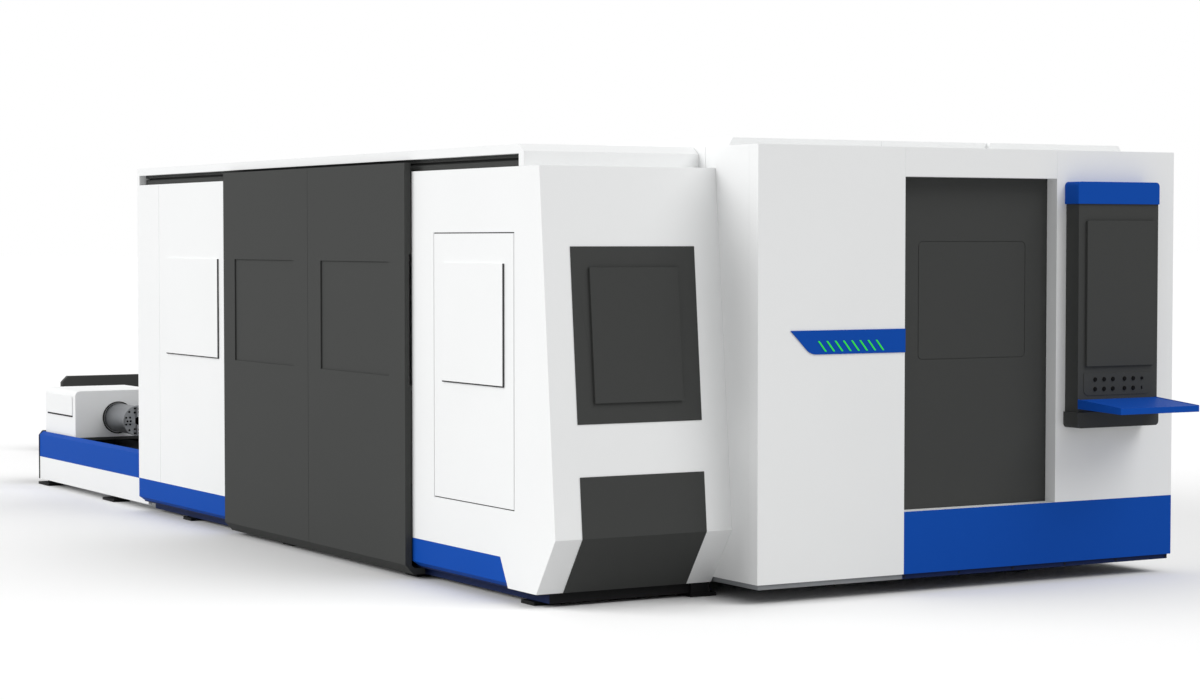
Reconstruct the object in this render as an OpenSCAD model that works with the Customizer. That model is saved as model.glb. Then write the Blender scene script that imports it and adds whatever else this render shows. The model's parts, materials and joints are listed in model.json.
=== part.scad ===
// Sheet and tube laser cutting machine with a shuttle table and a tube feed bed.
// While modelling, X runs right from the cabin's front left edge, Y runs back from
// the cabin's front face and Z runs up from the floor. Each piece is then moved so
// that the origin lies on the floor under the middle of the whole machine.

/* [Cabin] */
// Width of the sheet cabin
cab_w = 2930; // [2800:10:3200]
// Length of the sheet cabin and of the tube section's rear end
cab_l = 6456; // [6300:1:6700]
// Height of the cabin's top edge above the floor
cab_top = 2480; // [2450:5:2600]
// Height of the outer panels' lower edge above the floor
cab_base = 110; // [100:1:130]
// Thickness of the side walls, rear wall and roof
wall_t = 50; // [40:1:60]
// Depth of the folded front panels
front_t = 88; // [60:1:95]
// Sheet thickness of the folded panels
sheet_t = 3; // [2:0.5:4]
// Height of the roof covers above the cabin's top edge
roof_cover_h = 48; // [30:1:80]

/* [Front door] */
// Left edge of the doorway from the cabin's left side
door_x = 974; // [970:1:1000]
// Width of the doorway
door_w = 1074; // [900:1:1080]
// Height of the sill above the floor
sill_z = 459; // [440:1:480]
// Height of the header above the doorway
door_header_h = 164; // [160:1:230]
// Thickness of the sliding front door
door_t = 40; // [30:1:46]
// Overlap of the front door behind each edge of the doorway
door_lap = 10; // [6:1:16]

/* [Console] */
// Left side of the console's cap from the cabin's left side
console_x = 2105; // [2080:1:2140]
// Width of the console's cap
console_w = 608; // [580:1:640]
// Depth of the console's housing
console_d = 111; // [104:1:118]
// Height of the console's lower edge
console_z = 889; // [880:1:900]
// Distance of the console's top edge below the cabin's top edge
console_drop = 181; // [160:1:230]
// Reach of the keyboard shelf in front of the housing
shelf_d = 369; // [300:1:420]
// Diameter of the push buttons
button_d = 24; // [20:1:28]

/* [Tube section] */
// Width of the tube section to the left of the cabin
tube_w = 1101; // [1095:1:1180]
// Distance of the tube section's side panels below the cabin's top edge
tube_drop = 120; // [105:1:150]
// Distance of the nose's top edge behind the cabin's front face
nose_top_y = 424; // [380:1:440]
// Distance of the nose's foremost fold behind the cabin's front face
nose_fold_y = 252; // [200:1:300]
// Height of the nose's foremost fold
nose_fold_z = 388; // [340:1:440]
// Distance of the nose's lower edge behind the cabin's front face
nose_foot_y = 463; // [440:1:470]
// Near end of the side doorway
leaf_y = 1952; // [1940:1:1990]
// Length of the fixed side panel behind the side doorway
far_panel_l = 1752; // [1700:1:1820]
// Distance of the leaves' outer skin from the side panels
leaf_off = 46; // [45:0.5:52]
// Distance of the leaves' top edge below the cabin's top edge
leaf_drop = 70; // [65:1:75]
// Height of the blue side plinths' top edge
side_plinth_z = 243; // [200:1:300]
// Height that the raised window plates stand out
window_out = 12; // [6:1:13]

/* [Tube feed] */
// Length of the tube bed behind the cabin
tube_bed_l = 2484; // [2400:1:2700]
// Distance of the chuck axis from the cabin's left side
chuck_x = 630; // [620:1:640]
// Height of the chuck axis
chuck_z = 564; // [550:1:580]
// Radius of the rear chuck's drum
rear_chuck_r = 118; // [114:1:122]
// Radius of the front chuck's turning ring
front_chuck_r = 200; // [180:1:220]
// Radius of the tube passage through the front chuck
passage_r = 70; // [50:1:75]
// Length of the headstock
headstock_l = 720; // [660:1:740]
// Height of the headstock's top above the floor
headstock_top = 780; // [750:1:800]

/* [Sheet bed] */
// Height of the bed's side beams above the floor
bed_top = 900; // [880:1:920]
// Width of each side beam of the bed
bed_beam_w = 180; // [150:1:200]
// Distance of the side beams from the cabin's sides
bed_x = 300; // [280:1:320]
// Height of the pallet's underside
pallet_z = 480; // [475:1:490]
// Length of the pallet
pallet_l = 4000; // [3600:10:4100]
// Spacing of the pallet's support slats
slat_pitch = 130; // [100:5:200]
// Length of the shuttle table behind the cabin
shuttle_l = 5604; // [5500:1:5800]
// Height of the guard at the shuttle table's rear end
guard_top = 700; // [680:1:760]

/* [Gantry] */
// Depth of the gantry beam
beam_d = 300; // [260:1:320]
// Height of the gantry beam
beam_h = 300; // [260:1:340]
// Height of the gantry beam's underside
beam_z = 1050; // [1040:1:1080]
// Distance of the cutting nozzle behind the cabin's front face
nozzle_y = 1850; // [1830:1:1860]
// Place of the cutting nozzle from the cabin's left side
nozzle_x = 900; // [850:1:1000]
// Height of the cutting nozzle's tip
nozzle_z = 1000; // [970:1:1030]

/* [Hidden] */
$fn = 64;

// Overrun of every cut past the face that it opens
over = 2;
// Gap between a moving piece and the seat that carries it, and under a screwed-on plate
seat_gap = 0.3;
// Free play at the sides of a sliding tongue
tongue_play = 1;
// Radial running clearance of the turning chucks
spin_play = 0.05;
// Width and depth of a panel seam
seam_w = 4;
seam_d = 3;

// Paint and material colours
paint_white = "#F1F2F2";
paint_dark = "#4A4B4B";
paint_blue = "#1E4FA6";
paint_black = "#1B1B1C";
paint_grey = "#8E9093";
steel = "#B4B7BA";
light_green = "#35D64C";

// Sheet bed and floor supports
foot_h = 82;
foot_plate_t = 20;
foot_column_r = 35;
foot_w = 170;
foot_d = 150;
anchor_r = 9;
anchor_off = 55;
bed_y0 = 1150;
bed_cross_w = 160;
bed_cross_h = 140;
bed_cross_shares = [0, 0.5, 1];
bed_window_l = 560;
bed_window_h = 260;
bed_window_z = 540;
bed_window_count = 4;
ledge_w = 80;
ledge_t = 60;
base_inset = 15;
base_rail_w = 60;
bed_y1 = cab_l - base_inset - base_rail_w;
bed_len = bed_y1 - bed_y0;
base_cross_y = 485;
base_cross_w = 160;
cabin_foot_x = 765;
ring_foot_x = 90;
ring_foot_shares = [0.36, 0.66, 0.965];
bed_foot_x = bed_x + bed_beam_w / 2;
bed_foot_shares = [0.03, 0.5, 0.97];

// Cabin walls
passage_y0 = 1650;
passage_end = 306;
passage_y1 = cab_l - passage_end;
passage_z0 = 600;
passage_drop = 580;
passage_z1 = cab_top - passage_drop;
wall_seam_y = 525;
right_seam_shares = [0.25, 0.5, 0.75];
slot_side = 10;
slot_over = 40;
slot_under = 30;
roof_cover_x = 60;
roof_cover_right = 82;
roof_cover_y = 390;
roof_cover_step = 30;
roof_cover_split = 1845;
roof_cover_rear = 400;
roof_cover_slope = 31;
roof_seam_x = 1090;

// Front face
door_head_z = cab_top - door_header_h;
lip_in = 15;
lip_d = 25;
accent_z = 1345;
accent_h = 131;
accent_x = 208;
accent_slant = 132;
accent_r = 90;
accent_t = 6;
bar_count = 8;
bar_x = 384;
bar_pitch = 55;
bar_w = 12;
bar_h = 58;
bar_drop = 48;
bar_foot = 15;
bar_t = 2;
door_gap = 2;
door_y = front_t + door_gap;
track_d = 46;
track_h = 50;
track_gap = 24;
tongue_t = 10;
tongue_h = 30;
door_window_side = 156;
door_window_z0 = 1295;
door_window_drop = 357;
door_window_z1 = door_head_z - door_window_drop;
door_window_r = 30;
track_x = 56;

// Console
console_top = cab_top - console_drop;
console_body_in = 12;
console_body_right = 1;
console_base_h = 91;
console_base_d = 126;
console_cap_h = 127;
console_cap_d = 121;
console_r = 25;
screen_x = 65;
screen_w = 506;
screen_z0 = 1242;
screen_drop = 222;
screen_z1 = console_top - screen_drop;
screen_t = 16;
screen_r = 6;
plate_x = 54;
plate_w = 500;
plate_z0 = 1075;
plate_z1 = 1202;
plate_t = 3;
plate_r = 35;
button_shares = [0.166, 0.3, 0.432, 0.606, 0.738];
button_row_shares = [0.717, 0.283];
last_column_share = 0.868;
button_out = 6;
button_in = 10;
button_pocket = 18;
button_edge = 1.5;
key_share_of_button = 0.75;
key_out = 3;
key_grip_w = 5;
key_grip_out = 9;
socket_w = 11;
socket_h = 19;
shelf_back_z = 1052;
shelf_back_t = 52;
shelf_front_drop = 31;
shelf_front_t = 35;
shelf_rim_w = 6;
shelf_rim_h = 3;

// Tube section shell
tube_base_z = 80;
tube_top = cab_top - tube_drop;
tube_wall_x = -tube_w + wall_t;
far_y = cab_l - far_panel_l;
roof_y = 594;
roof_cap_t = 58;
roof_band_h = 52;
roof_band_z = cab_top - roof_band_h;
roof_front_drop = 40;
hatch_t = 4;
hatch_x0 = 163;
hatch_x1 = 938;
hatch_z0 = 990;
hatch_drop = 428;
hatch_z1 = tube_top - hatch_drop;
hatch_plate_x0 = 282;
hatch_plate_x1 = 834;
hatch_plate_z0 = 1100;
hatch_plate_drop = 540;
hatch_plate_z1 = tube_top - hatch_plate_drop;
hatch_plate_t = 20;
lower_panel_z = 713;
plinth_foot_y = 781;
plinth_front_y = 870;
plinth_chamfer_z = 28;
plinth_chamfer_x = 38;
service_y0 = 705;
service_y1 = 1670;
service_z0 = 505;
service_drop = 352;
service_z1 = tube_top - service_drop;
service_t = 12;
service_gap = 6;
window_z0 = 1174;
window_drop = 521;
window_z1 = tube_top - window_drop;
service_window_y0 = 818;
service_window_y1 = 1551;
far_window_in = 201;
far_window_y0 = far_y + far_window_in;
far_window_end = 590;
far_window_y1 = cab_l - far_window_end;
far_seam_end = 436;
far_seam_y = cab_l - far_seam_end;

// Leaves of the side doorway and their track
leaf_l = (far_y - leaf_y) / 2;
leaf_top = cab_top - leaf_drop;
leaf_skin_t = 30;
leaf_frame_t = 12;
leaf_z = 85;
leaf_lip_z = 26;
leaf_lip_in = 52;
leaf_lip_reach = 76;
leaf_lip_t = 38;
leaf_lip_bend = 62;
leaf_bend_z = 80;
leaf_band_gap = 45;
leaf_window_end = 216;
leaf_window_rest = 194;
leaf_window_l = leaf_l - leaf_window_end - leaf_window_rest;
leaf_window_d = 10;
leaf_meet_gap = 2;
hanger_l = 150;
hanger_t = 12;
hanger_drop = 34;
hanger_z = roof_band_z - hanger_drop;
hanger_shares = [0.12, 0.78];
side_track_w = 60;
side_track_h = 128;
side_groove_d = 30;

// Tube section's base and the tube bed
tube_base_foot = 20;
tube_base_x = 1000;
tube_base_w = 100;
tube_flange_x = 1060;
tube_flange_t = 10;
base_front_y = 500;
base_front_w = 125;
base_post_w = 123;
base_post_y = 475;
base_cross_shares = [0.327, 0.606, 0.88];
base_end_gap = 60;
corner_pad_w = 166;
front_pad_y = 680;
bed_end = cab_l + tube_bed_l;
tube_bed_y0 = 2330;
bed_side = 375;
bed_side_w = 140;
bed_side_top = 355;
tube_rail_h = 35;
tube_rail_w = 40;
tube_rail_side = 305;
tube_cross_count = 6;
tube_cross_w = 120;
tube_cross_h = 120;
cover_side = 400;
lower_cover_z = 42;
lower_cover_top = 222;
upper_cover_top = 425;
upper_cover_bend = 400;
upper_cover_in = 30;
cover_sheet = 6;
end_plate_t = 14;
end_plate_over = 6;
end_plate_chamfer = 30;
bed_pad_side = 350;
bed_pad_l = 250;
bed_pad_w = 126;
bed_pad_r = 24;
bed_pad_shares = [0.333, 0.945];
tube_opening_side = 385;
tube_opening_top = 830;

// Headstock, chucks and their seats
headstock_side = 350;
headstock_z = 413;
headstock_end_gap = 20;
headstock_y = bed_end - headstock_end_gap - headstock_l;
headstock_r = 40;
headstock_cover_out = 8;
headstock_cover_y = 60;
headstock_cover_l = 580;
headstock_cover_z = 585;
headstock_cover_h = 155;
carriage_side = 345;
carriage_z = bed_side_top + tube_rail_h + seat_gap;
runner_w = 18;
runner_h = 24;
runner_l = 120;
runner_inset = 30;
spindle_r = 90;
spindle_l = 160;
rear_chuck_l = 450;
rear_chuck_y = headstock_y - rear_chuck_l;
chuck_flange_l = 30;
chuck_flange_cut = 6;
jaw_w = 34;
jaw_l = 46;
jaw_t = 22;
jaw_count = 4;
rear_passage_r = 30;
rear_jaw_l = 78;
face_hole_r = 6;
face_hole_depth = 12;
face_hole_ring = 100;
face_hole_count = 12;
front_chuck_y = 1980;
front_chuck_l = 280;
front_ring_out = 15;
front_housing_r = 300;
front_housing_side = 300;

// Pallet, shuttle table and interior cabinet
pallet_in = 20;
pallet_y = 1750;
pallet_h = 100;
pallet_beam = 80;
pallet_rib_count = 4;
slat_h = 80;
slat_t = 4;
slat_in = 20;
tooth_w = 90;
tooth_h = 24;
shuttle_x = 330;
shuttle_beam_w = 150;
shuttle_beam_h = 180;
shuttle_leg_w = 120;
shuttle_leg_shares = [0.02, 0.34, 0.66, 0.94];
guard_x = 200;
guard_t = 60;
guard_z = 120;
guard_chamfer = 56;
shuttle_end = cab_l + shuttle_l;
cabinet_x0 = 60;
cabinet_x1 = 900;
cabinet_y0 = 150;
cabinet_y1 = 800;
cabinet_drop = 480;
cabinet_top = cab_top - cabinet_drop;
cabinet_door_t = 4;

// Gantry, carriage and cutting head
rail_h = 30;
rail_w = 40;
beam_left = 880;
beam_right = 230;
beam_gap = 150;
truck_l = 420;
beam_rail_d = 20;
beam_rail_h = 30;
beam_rail_shares = [0.16, 0.76];
carriage_w = 360;
carriage_d = 50;
carriage_up = 50;
carriage_down = 10;
lift_rail_d = 15;
lift_rail_w = 24;
lift_rail_x = 90;
slide_w = 240;
slide_t = 25;
slide_z = 130;
slide_h = 300;
head_r = 42;
head_top = 450;
head_cone_z = 120;
nozzle_r = 14;
nozzle_tip_r = 4;
nozzle_h = 40;
clamp_w = 110;
clamp_h = 70;
clamp_z = 250;

beam_y = nozzle_y + beam_gap;

// Reach of the whole machine, which sets the origin
x_min = -tube_w - leaf_off;
x_max = cab_w;
y_min = -console_d - shelf_d;
y_max = shuttle_end;

// Horizontal place of the nose's front face at height z
function nose_y(z) = z >= nose_fold_z
    ? nose_fold_y + (nose_top_y - nose_fold_y) * (z - nose_fold_z) / (tube_top - nose_fold_z)
    : nose_foot_y + (nose_fold_y - nose_foot_y) * (z - tube_base_z) / (nose_fold_z - tube_base_z);

// Points of a quarter or other arc about c, from angle a0 to a1
function arc(c, r, a0, a1, steps = 8) =
    [for (i = [0:steps]) c + r * [cos(a0 + (a1 - a0) * i / steps), sin(a0 + (a1 - a0) * i / steps)]];

// Moves a piece from the cabin's corner to the machine's origin
module placed() {
    translate([-(x_min + x_max) / 2, -(y_min + y_max) / 2, 0]) children();
}

// Block between two opposite corners
module box(lo, hi) {
    translate(lo) cube(hi - lo);
}

// Folded panel with returns on four sides, open at the back
module tray(lo, hi) {
    difference() {
        box(lo, hi);
        box(lo + [sheet_t, sheet_t, sheet_t], hi + [-sheet_t, over, -sheet_t]);
    }
}

// Profile in Y and Z drawn out along X
module along_x(x0, x1) {
    translate([x0, 0, 0]) rotate([90, 0, 90]) linear_extrude(x1 - x0) children();
}

// Profile in X and Z drawn out along Y
module along_y(y0, y1) {
    translate([0, y1, 0]) rotate([90, 0, 0]) linear_extrude(y1 - y0) children();
}

// Round body about an axis along Y
module along_y_round(x, y0, y1, z, r) {
    translate([x, y0, z]) rotate([-90, 0, 0]) cylinder(r = r, h = y1 - y0);
}

// Rectangle with four equal round corners
module round_rect(lo, hi, r) {
    polygon(concat(
        arc([hi.x - r, hi.y - r], r, 0, 90),
        arc([lo.x + r, hi.y - r], r, 90, 180),
        arc([lo.x + r, lo.y + r], r, 180, 270),
        arc([hi.x - r, lo.y + r], r, 270, 360)));
}

// Rectangle whose two upper corners are round
module round_top(lo, hi, r) {
    polygon(concat([[hi.x, lo.y]],
        arc([hi.x - r, hi.y - r], r, 0, 90),
        arc([lo.x + r, hi.y - r], r, 90, 180),
        [[lo.x, lo.y]]));
}

// A piece and its mirror image across the cabin's middle
module both_cabin_sides() {
    children();
    translate([cab_w, 0, 0]) mirror([1, 0, 0]) children();
}

// A piece and its mirror image across the chuck axis
module both_tube_sides() {
    children();
    translate([-2 * chuck_x, 0, 0]) mirror([1, 0, 0]) children();
}

// Floor pad with a round column up to what it carries
module foot(x, y, w, d, top, r) {
    translate([x - w / 2, y - d / 2, 0]) cube([w, d, min(foot_plate_t, top)]);
    if (top > foot_plate_t) translate([x, y, 0]) cylinder(r = r, h = top);
}

// Foot of the sheet bed with its anchor hole
module bed_foot(y) {
    difference() {
        foot(bed_foot_x, y, foot_w, foot_d, foot_h, foot_column_r);
        translate([bed_foot_x, y + anchor_off, -over]) cylinder(r = anchor_r, h = foot_plate_t + 2 * over);
    }
}

module levelling_feet() {
    color(paint_black) {
        both_cabin_sides() {
            for (s = bed_foot_shares) bed_foot(bed_y0 + s * bed_len);
            for (s = ring_foot_shares) foot(ring_foot_x, s * cab_l, foot_d, foot_w, foot_h, foot_column_r);
            foot(cabin_foot_x, base_cross_y + base_cross_w / 2, foot_w, base_cross_w, foot_h, foot_column_r);
        }
        foot(-base_post_w + corner_pad_w / 2, base_post_y + foot_d / 2,
            corner_pad_w, foot_d, tube_base_foot, foot_column_r);
        foot(-tube_base_x + tube_base_w / 2, front_pad_y, foot_w, foot_d, tube_base_foot, foot_column_r);
        for (s = base_cross_shares) {
            foot(-tube_base_x + tube_base_w / 2, s * cab_l, foot_w, foot_d, tube_base_foot, foot_column_r);
            foot(-tube_base_w / 2, s * cab_l, foot_d, foot_d, tube_base_foot, foot_column_r);
        }
        both_tube_sides() for (s = bed_pad_shares)
            foot(-chuck_x - bed_pad_side, cab_l + s * tube_bed_l, bed_pad_w, bed_pad_l, tube_base_z,
                bed_pad_r);
    }
}

// Welded bed: two pierced side beams, cross beams and the pallet's running ledges
module sheet_bed() {
    window_step = bed_len / bed_window_count;
    color(paint_grey) {
        both_cabin_sides() difference() {
            union() {
                box([bed_x, bed_y0, foot_h], [bed_x + bed_beam_w, bed_y1, bed_top]);
                box([bed_x + bed_beam_w, bed_y0, pallet_z - seat_gap - ledge_t],
                    [bed_x + bed_beam_w + ledge_w, bed_y1, pallet_z - seat_gap]);
            }
            for (i = [0:bed_window_count - 1])
                translate([bed_x - over, bed_y0 + (i + 1 / 2) * window_step - bed_window_l / 2, bed_window_z])
                    cube([bed_beam_w + 2 * over, bed_window_l, bed_window_h]);
        }
        for (s = bed_cross_shares)
            translate([bed_x + bed_beam_w, bed_y0 + s * (bed_len - bed_cross_w), foot_h])
                cube([cab_w - 2 * (bed_x + bed_beam_w), bed_cross_w, bed_cross_h]);
    }
}

// Low frame that carries the cabin's walls
module cabin_base_rail() {
    color(paint_grey) {
        box([base_inset, base_inset, foot_h], [base_inset + base_rail_w, cab_l - base_inset, cab_base]);
        box([cab_w - base_inset - base_rail_w, front_t, foot_h],
            [cab_w - base_inset, cab_l - base_inset, cab_base]);
        box([base_inset, base_inset, foot_h], [door_x, base_inset + base_rail_w, cab_base]);
        box([base_inset, cab_l - base_inset - base_rail_w, foot_h],
            [cab_w - base_inset, cab_l - base_inset, cab_base]);
        box([base_inset, base_cross_y, foot_h], [cab_w - base_inset, base_cross_y + base_cross_w, cab_base]);
    }
}

// Left wall, open where the gantry reaches over the tube
module cabin_left_wall() {
    color(paint_white) difference() {
        box([0, front_t, cab_base], [wall_t, cab_l - wall_t, cab_top]);
        box([-over, passage_y0, passage_z0], [wall_t + over, passage_y1, passage_z1]);
        box([-over, wall_seam_y, cab_base - over], [seam_d, wall_seam_y + seam_w, cab_top + over]);
    }
}

module cabin_right_wall() {
    color(paint_white) difference() {
        box([cab_w - wall_t, front_t, cab_base], [cab_w, cab_l - wall_t, cab_top]);
        for (s = right_seam_shares)
            translate([cab_w - seam_d, s * cab_l, cab_base - over])
                cube([seam_d + over, seam_w, cab_top - cab_base + 2 * over]);
    }
}

// Rear wall with the slot that the pallet leaves by
module cabin_rear_wall() {
    slot_x = bed_x + bed_beam_w + slot_side;
    color(paint_white) difference() {
        box([0, cab_l - wall_t, cab_base], [cab_w, cab_l, cab_top]);
        box([slot_x, cab_l - wall_t - over, pallet_z - slot_under],
            [cab_w - slot_x, cab_l + over, pallet_z + pallet_h + slat_h + slot_over]);
    }
}

module cabin_roof() {
    color(paint_white)
        box([wall_t, front_t, cab_top - wall_t], [cab_w - wall_t, cab_l - wall_t, cab_top]);
}

// Low roof covers with sloping ends, the right one standing slightly forward
module roof_covers() {
    cover_end = cab_w - roof_cover_right;
    cover_top = cab_top + roof_cover_h;
    color(paint_white) {
        difference() {
            along_y(roof_cover_y, cab_l - roof_cover_rear) polygon([
                [roof_cover_x, cab_top], [roof_cover_split, cab_top], [roof_cover_split, cover_top],
                [roof_cover_x + roof_cover_slope, cover_top]]);
            box([roof_seam_x, roof_cover_y - over, cab_top],
                [roof_seam_x + seam_w, roof_cover_y + seam_d, cover_top + over]);
        }
        along_y(roof_cover_y - roof_cover_step, cab_l - roof_cover_rear) polygon([
            [roof_cover_split, cab_top], [cover_end, cab_top], [cover_end - roof_cover_slope, cover_top],
            [roof_cover_split, cover_top]]);
    }
}

module front_left_panel() {
    color(paint_white) tray([0, 0, cab_base], [door_x, front_t, cab_top]);
}

// Right front panel, which carries the console
module front_right_panel() {
    color(paint_white) tray([door_x + door_w, 0, sill_z], [cab_w, front_t, cab_top]);
}

module door_header() {
    color(paint_white) tray([door_x, 0, door_head_z], [door_x + door_w, front_t, cab_top]);
}

// Blue plinth under the doorway with a set-back lower lip
module front_plinth() {
    color(paint_blue) {
        tray([door_x, 0, cab_base], [cab_w, front_t, sill_z]);
        box([door_x, lip_in, foot_h], [cab_w - lip_in, lip_in + lip_d, cab_base]);
    }
}

// Blue accent with a slanting, rounded left end
module accent_strip() {
    slope = atan2(accent_h, accent_slant);
    turn = tan(slope / 2) * accent_r;
    foot_x = accent_x + accent_slant;
    color(paint_blue) along_y(-accent_t, 0) polygon(concat(
        [[door_x, accent_z], [door_x, accent_z + accent_h], [accent_x, accent_z + accent_h]],
        arc([foot_x + turn, accent_z + accent_r], accent_r, 270 - slope, 270)));
}

module accent_lights() {
    bar_top = accent_z + bar_foot + bar_h;
    color(light_green) for (i = [0:bar_count - 1])
        translate([bar_x + i * bar_pitch, 0, bar_top])
            along_y(-accent_t - bar_t, -accent_t)
                polygon([[0, 0], [bar_w, 0], [bar_w + bar_drop, -bar_h], [bar_drop, -bar_h]]);
}

// Upper and lower channel of the front door, and the lintel that the side leaves hang in
module door_tracks() {
    front_door_channels();
    side_door_lintel();
}

module front_door_channels() {
    groove_y = door_y + (door_t - tongue_t) / 2 - tongue_play;
    groove_w = tongue_t + 2 * tongue_play;
    track_end = door_x + door_w + door_lap;
    top_z = door_head_z + door_lap + track_gap;
    low_z = sill_z - door_lap - track_gap;
    color(paint_dark) {
        difference() {
            box([track_x, front_t, top_z], [track_end, front_t + track_d, top_z + track_h]);
            box([track_x - over, groove_y, top_z - over],
                [track_end + over, groove_y + groove_w, top_z + tongue_h]);
        }
        difference() {
            box([track_x, front_t, low_z - track_h], [track_end, front_t + track_d, low_z]);
            box([track_x - over, groove_y, low_z - tongue_h],
                [track_end + over, groove_y + groove_w, low_z + over]);
        }
    }
}

// Sliding front door with its guide tongues and the grooved outline of its window
module front_door() {
    x0 = door_x - door_lap;
    x1 = door_x + door_w + door_lap;
    z0 = sill_z - door_lap;
    z1 = door_head_z + door_lap;
    tongue_y = door_y + (door_t - tongue_t) / 2;
    low_tip = z0 - track_gap - tongue_h + seat_gap;
    color(paint_dark) {
        difference() {
            box([x0, door_y, z0], [x1, door_y + door_t, z1]);
            along_y(door_y - over, door_y + seam_d) difference() {
                round_rect([door_x + door_window_side, door_window_z0],
                    [door_x + door_w - door_window_side, door_window_z1], door_window_r);
                round_rect([door_x + door_window_side + seam_w, door_window_z0 + seam_w],
                    [door_x + door_w - door_window_side - seam_w, door_window_z1 - seam_w],
                    door_window_r - seam_w);
            }
        }
        box([x0, tongue_y, z1], [x1, tongue_y + tongue_t, z1 + track_gap + tongue_h - seat_gap]);
        box([x0, tongue_y, low_tip], [x1, tongue_y + tongue_t, z0]);
    }
}

// Left side of the nose, with the pocket of the service panel
module nose_side_panel() {
    color(paint_white) difference() {
        along_x(-tube_w, tube_wall_x) polygon([
            [nose_top_y, tube_top], [nose_fold_y, nose_fold_z], [nose_foot_y, tube_base_z],
            [plinth_foot_y, tube_base_z], [plinth_front_y, side_plinth_z],
            [leaf_y, side_plinth_z], [leaf_y, tube_top]]);
        box([-tube_w - over, service_y0, service_z0], [-tube_w + service_t, service_y1, service_z1]);
    }
}

// Folded front of the nose with its top flange
module nose_end_panel() {
    color(paint_white) along_x(tube_wall_x, 0) polygon([
        [roof_y + roof_cap_t, tube_top], [nose_top_y, tube_top], [nose_fold_y, nose_fold_z],
        [nose_foot_y, tube_base_z], [nose_foot_y + wall_t, tube_base_z],
        [nose_fold_y + wall_t, nose_fold_z], [nose_y(tube_top - wall_t) + wall_t, tube_top - wall_t],
        [roof_y + roof_cap_t, tube_top - wall_t]]);
}

// Plate that lies on the nose's sloping front between two heights
module nose_plate(x0, x1, z0, z1, inner, outer) {
    along_x(-x1, -x0) polygon([
        [nose_y(z0) - inner, z0], [nose_y(z1) - inner, z1],
        [nose_y(z1) - outer, z1], [nose_y(z0) - outer, z0]]);
}

// Dark hatch of the nose with its raised cover
module nose_hatch() {
    color(paint_dark) {
        nose_plate(hatch_x0, hatch_x1, hatch_z0, hatch_z1, seat_gap, hatch_t);
        nose_plate(hatch_plate_x0, hatch_plate_x1, hatch_plate_z0, hatch_plate_z1, hatch_t, hatch_plate_t);
    }
}

// Dark lower panel that follows the nose's fold
module nose_lower_panel() {
    color(paint_dark) along_x(-hatch_x1, -hatch_x0) polygon([
        [nose_y(lower_panel_z) - seat_gap, lower_panel_z], [nose_fold_y - seat_gap, nose_fold_z],
        [nose_foot_y - seat_gap, tube_base_z],
        [nose_foot_y - hatch_t, tube_base_z], [nose_fold_y - hatch_t, nose_fold_z],
        [nose_y(lower_panel_z) - hatch_t, lower_panel_z]]);
}

// Flush service panel with a raised window plate
module service_panel() {
    color(paint_white) {
        box([-tube_w, service_y0 + service_gap, service_z0 + service_gap],
            [-tube_w + service_t, service_y1 - service_gap, service_z1 - service_gap]);
        box([-tube_w - window_out, service_window_y0, window_z0], [-tube_w, service_window_y1, window_z1]);
    }
}

// White side panel behind the doorway with its raised window plate
module far_side_panel() {
    color(paint_white) {
        difference() {
            box([-tube_w, far_y, side_plinth_z], [tube_wall_x, cab_l, tube_top]);
            box([-tube_w - over, far_seam_y, side_plinth_z - over],
                [-tube_w + seam_d, far_seam_y + seam_w, tube_top + over]);
        }
        box([-tube_w - window_out, far_window_y0, window_z0], [-tube_w, far_window_y1, window_z1]);
    }
}

// Section of the blue side plinths, chamfered at the bottom
module side_plinth_profile() {
    polygon([[-tube_w, side_plinth_z], [-tube_w, tube_base_z + plinth_chamfer_z],
        [-tube_w + plinth_chamfer_x, tube_base_z], [tube_wall_x, tube_base_z], [tube_wall_x, side_plinth_z]]);
}

module side_plinths() {
    color(paint_blue) {
        intersection() {
            along_y(plinth_foot_y, leaf_y) side_plinth_profile();
            along_x(-tube_w - over, tube_wall_x + over) polygon([
                [plinth_foot_y, tube_base_z], [leaf_y, tube_base_z], [leaf_y, side_plinth_z],
                [plinth_front_y, side_plinth_z]]);
        }
        along_y(far_y, cab_l) side_plinth_profile();
    }
}

// Tube section's roof with a sloping front and closed ends
module tube_roof() {
    color(paint_white) {
        along_x(-tube_w, 0) polygon([
            [roof_y, tube_top], [roof_y + roof_cap_t, tube_top], [roof_y + roof_cap_t, roof_band_z],
            [cab_l, roof_band_z], [cab_l, cab_top], [roof_y + roof_cap_t, cab_top],
            [roof_y, cab_top - roof_front_drop]]);
        box([-tube_w, cab_l - wall_t, tube_top], [tube_wall_x, cab_l, roof_band_z]);
    }
}

// Lintel with the groove that the leaves hang in
module side_door_lintel() {
    color(paint_dark) difference() {
        box([tube_wall_x, roof_y + roof_cap_t, roof_band_z - side_track_h],
            [tube_wall_x + side_track_w, cab_l - wall_t, roof_band_z]);
        box([tube_wall_x - over, roof_y, hanger_z],
            [tube_wall_x + side_groove_d, cab_l, hanger_z + hanger_t + 2 * tongue_play]);
    }
}

// Section of one leaf: thinner where it slides over the window plates, with a sloping foot and an inward lip
module leaf_profile() {
    x0 = -tube_w - leaf_off;
    skin_x = x0 + leaf_skin_t;
    inner_x = skin_x + leaf_frame_t;
    lip_x = x0 + leaf_lip_in + leaf_lip_reach;
    polygon([
        [x0, leaf_top], [x0, leaf_z], [x0 + leaf_lip_in, leaf_lip_z], [lip_x, leaf_lip_z],
        [lip_x, leaf_lip_z + leaf_lip_t], [x0 + leaf_lip_bend, leaf_lip_z + leaf_lip_t],
        [inner_x, leaf_bend_z], [inner_x, window_z0 - leaf_band_gap], [skin_x, window_z0 - leaf_band_gap],
        [skin_x, window_z1 + leaf_band_gap], [inner_x, window_z1 + leaf_band_gap], [inner_x, leaf_top]]);
}

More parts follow.
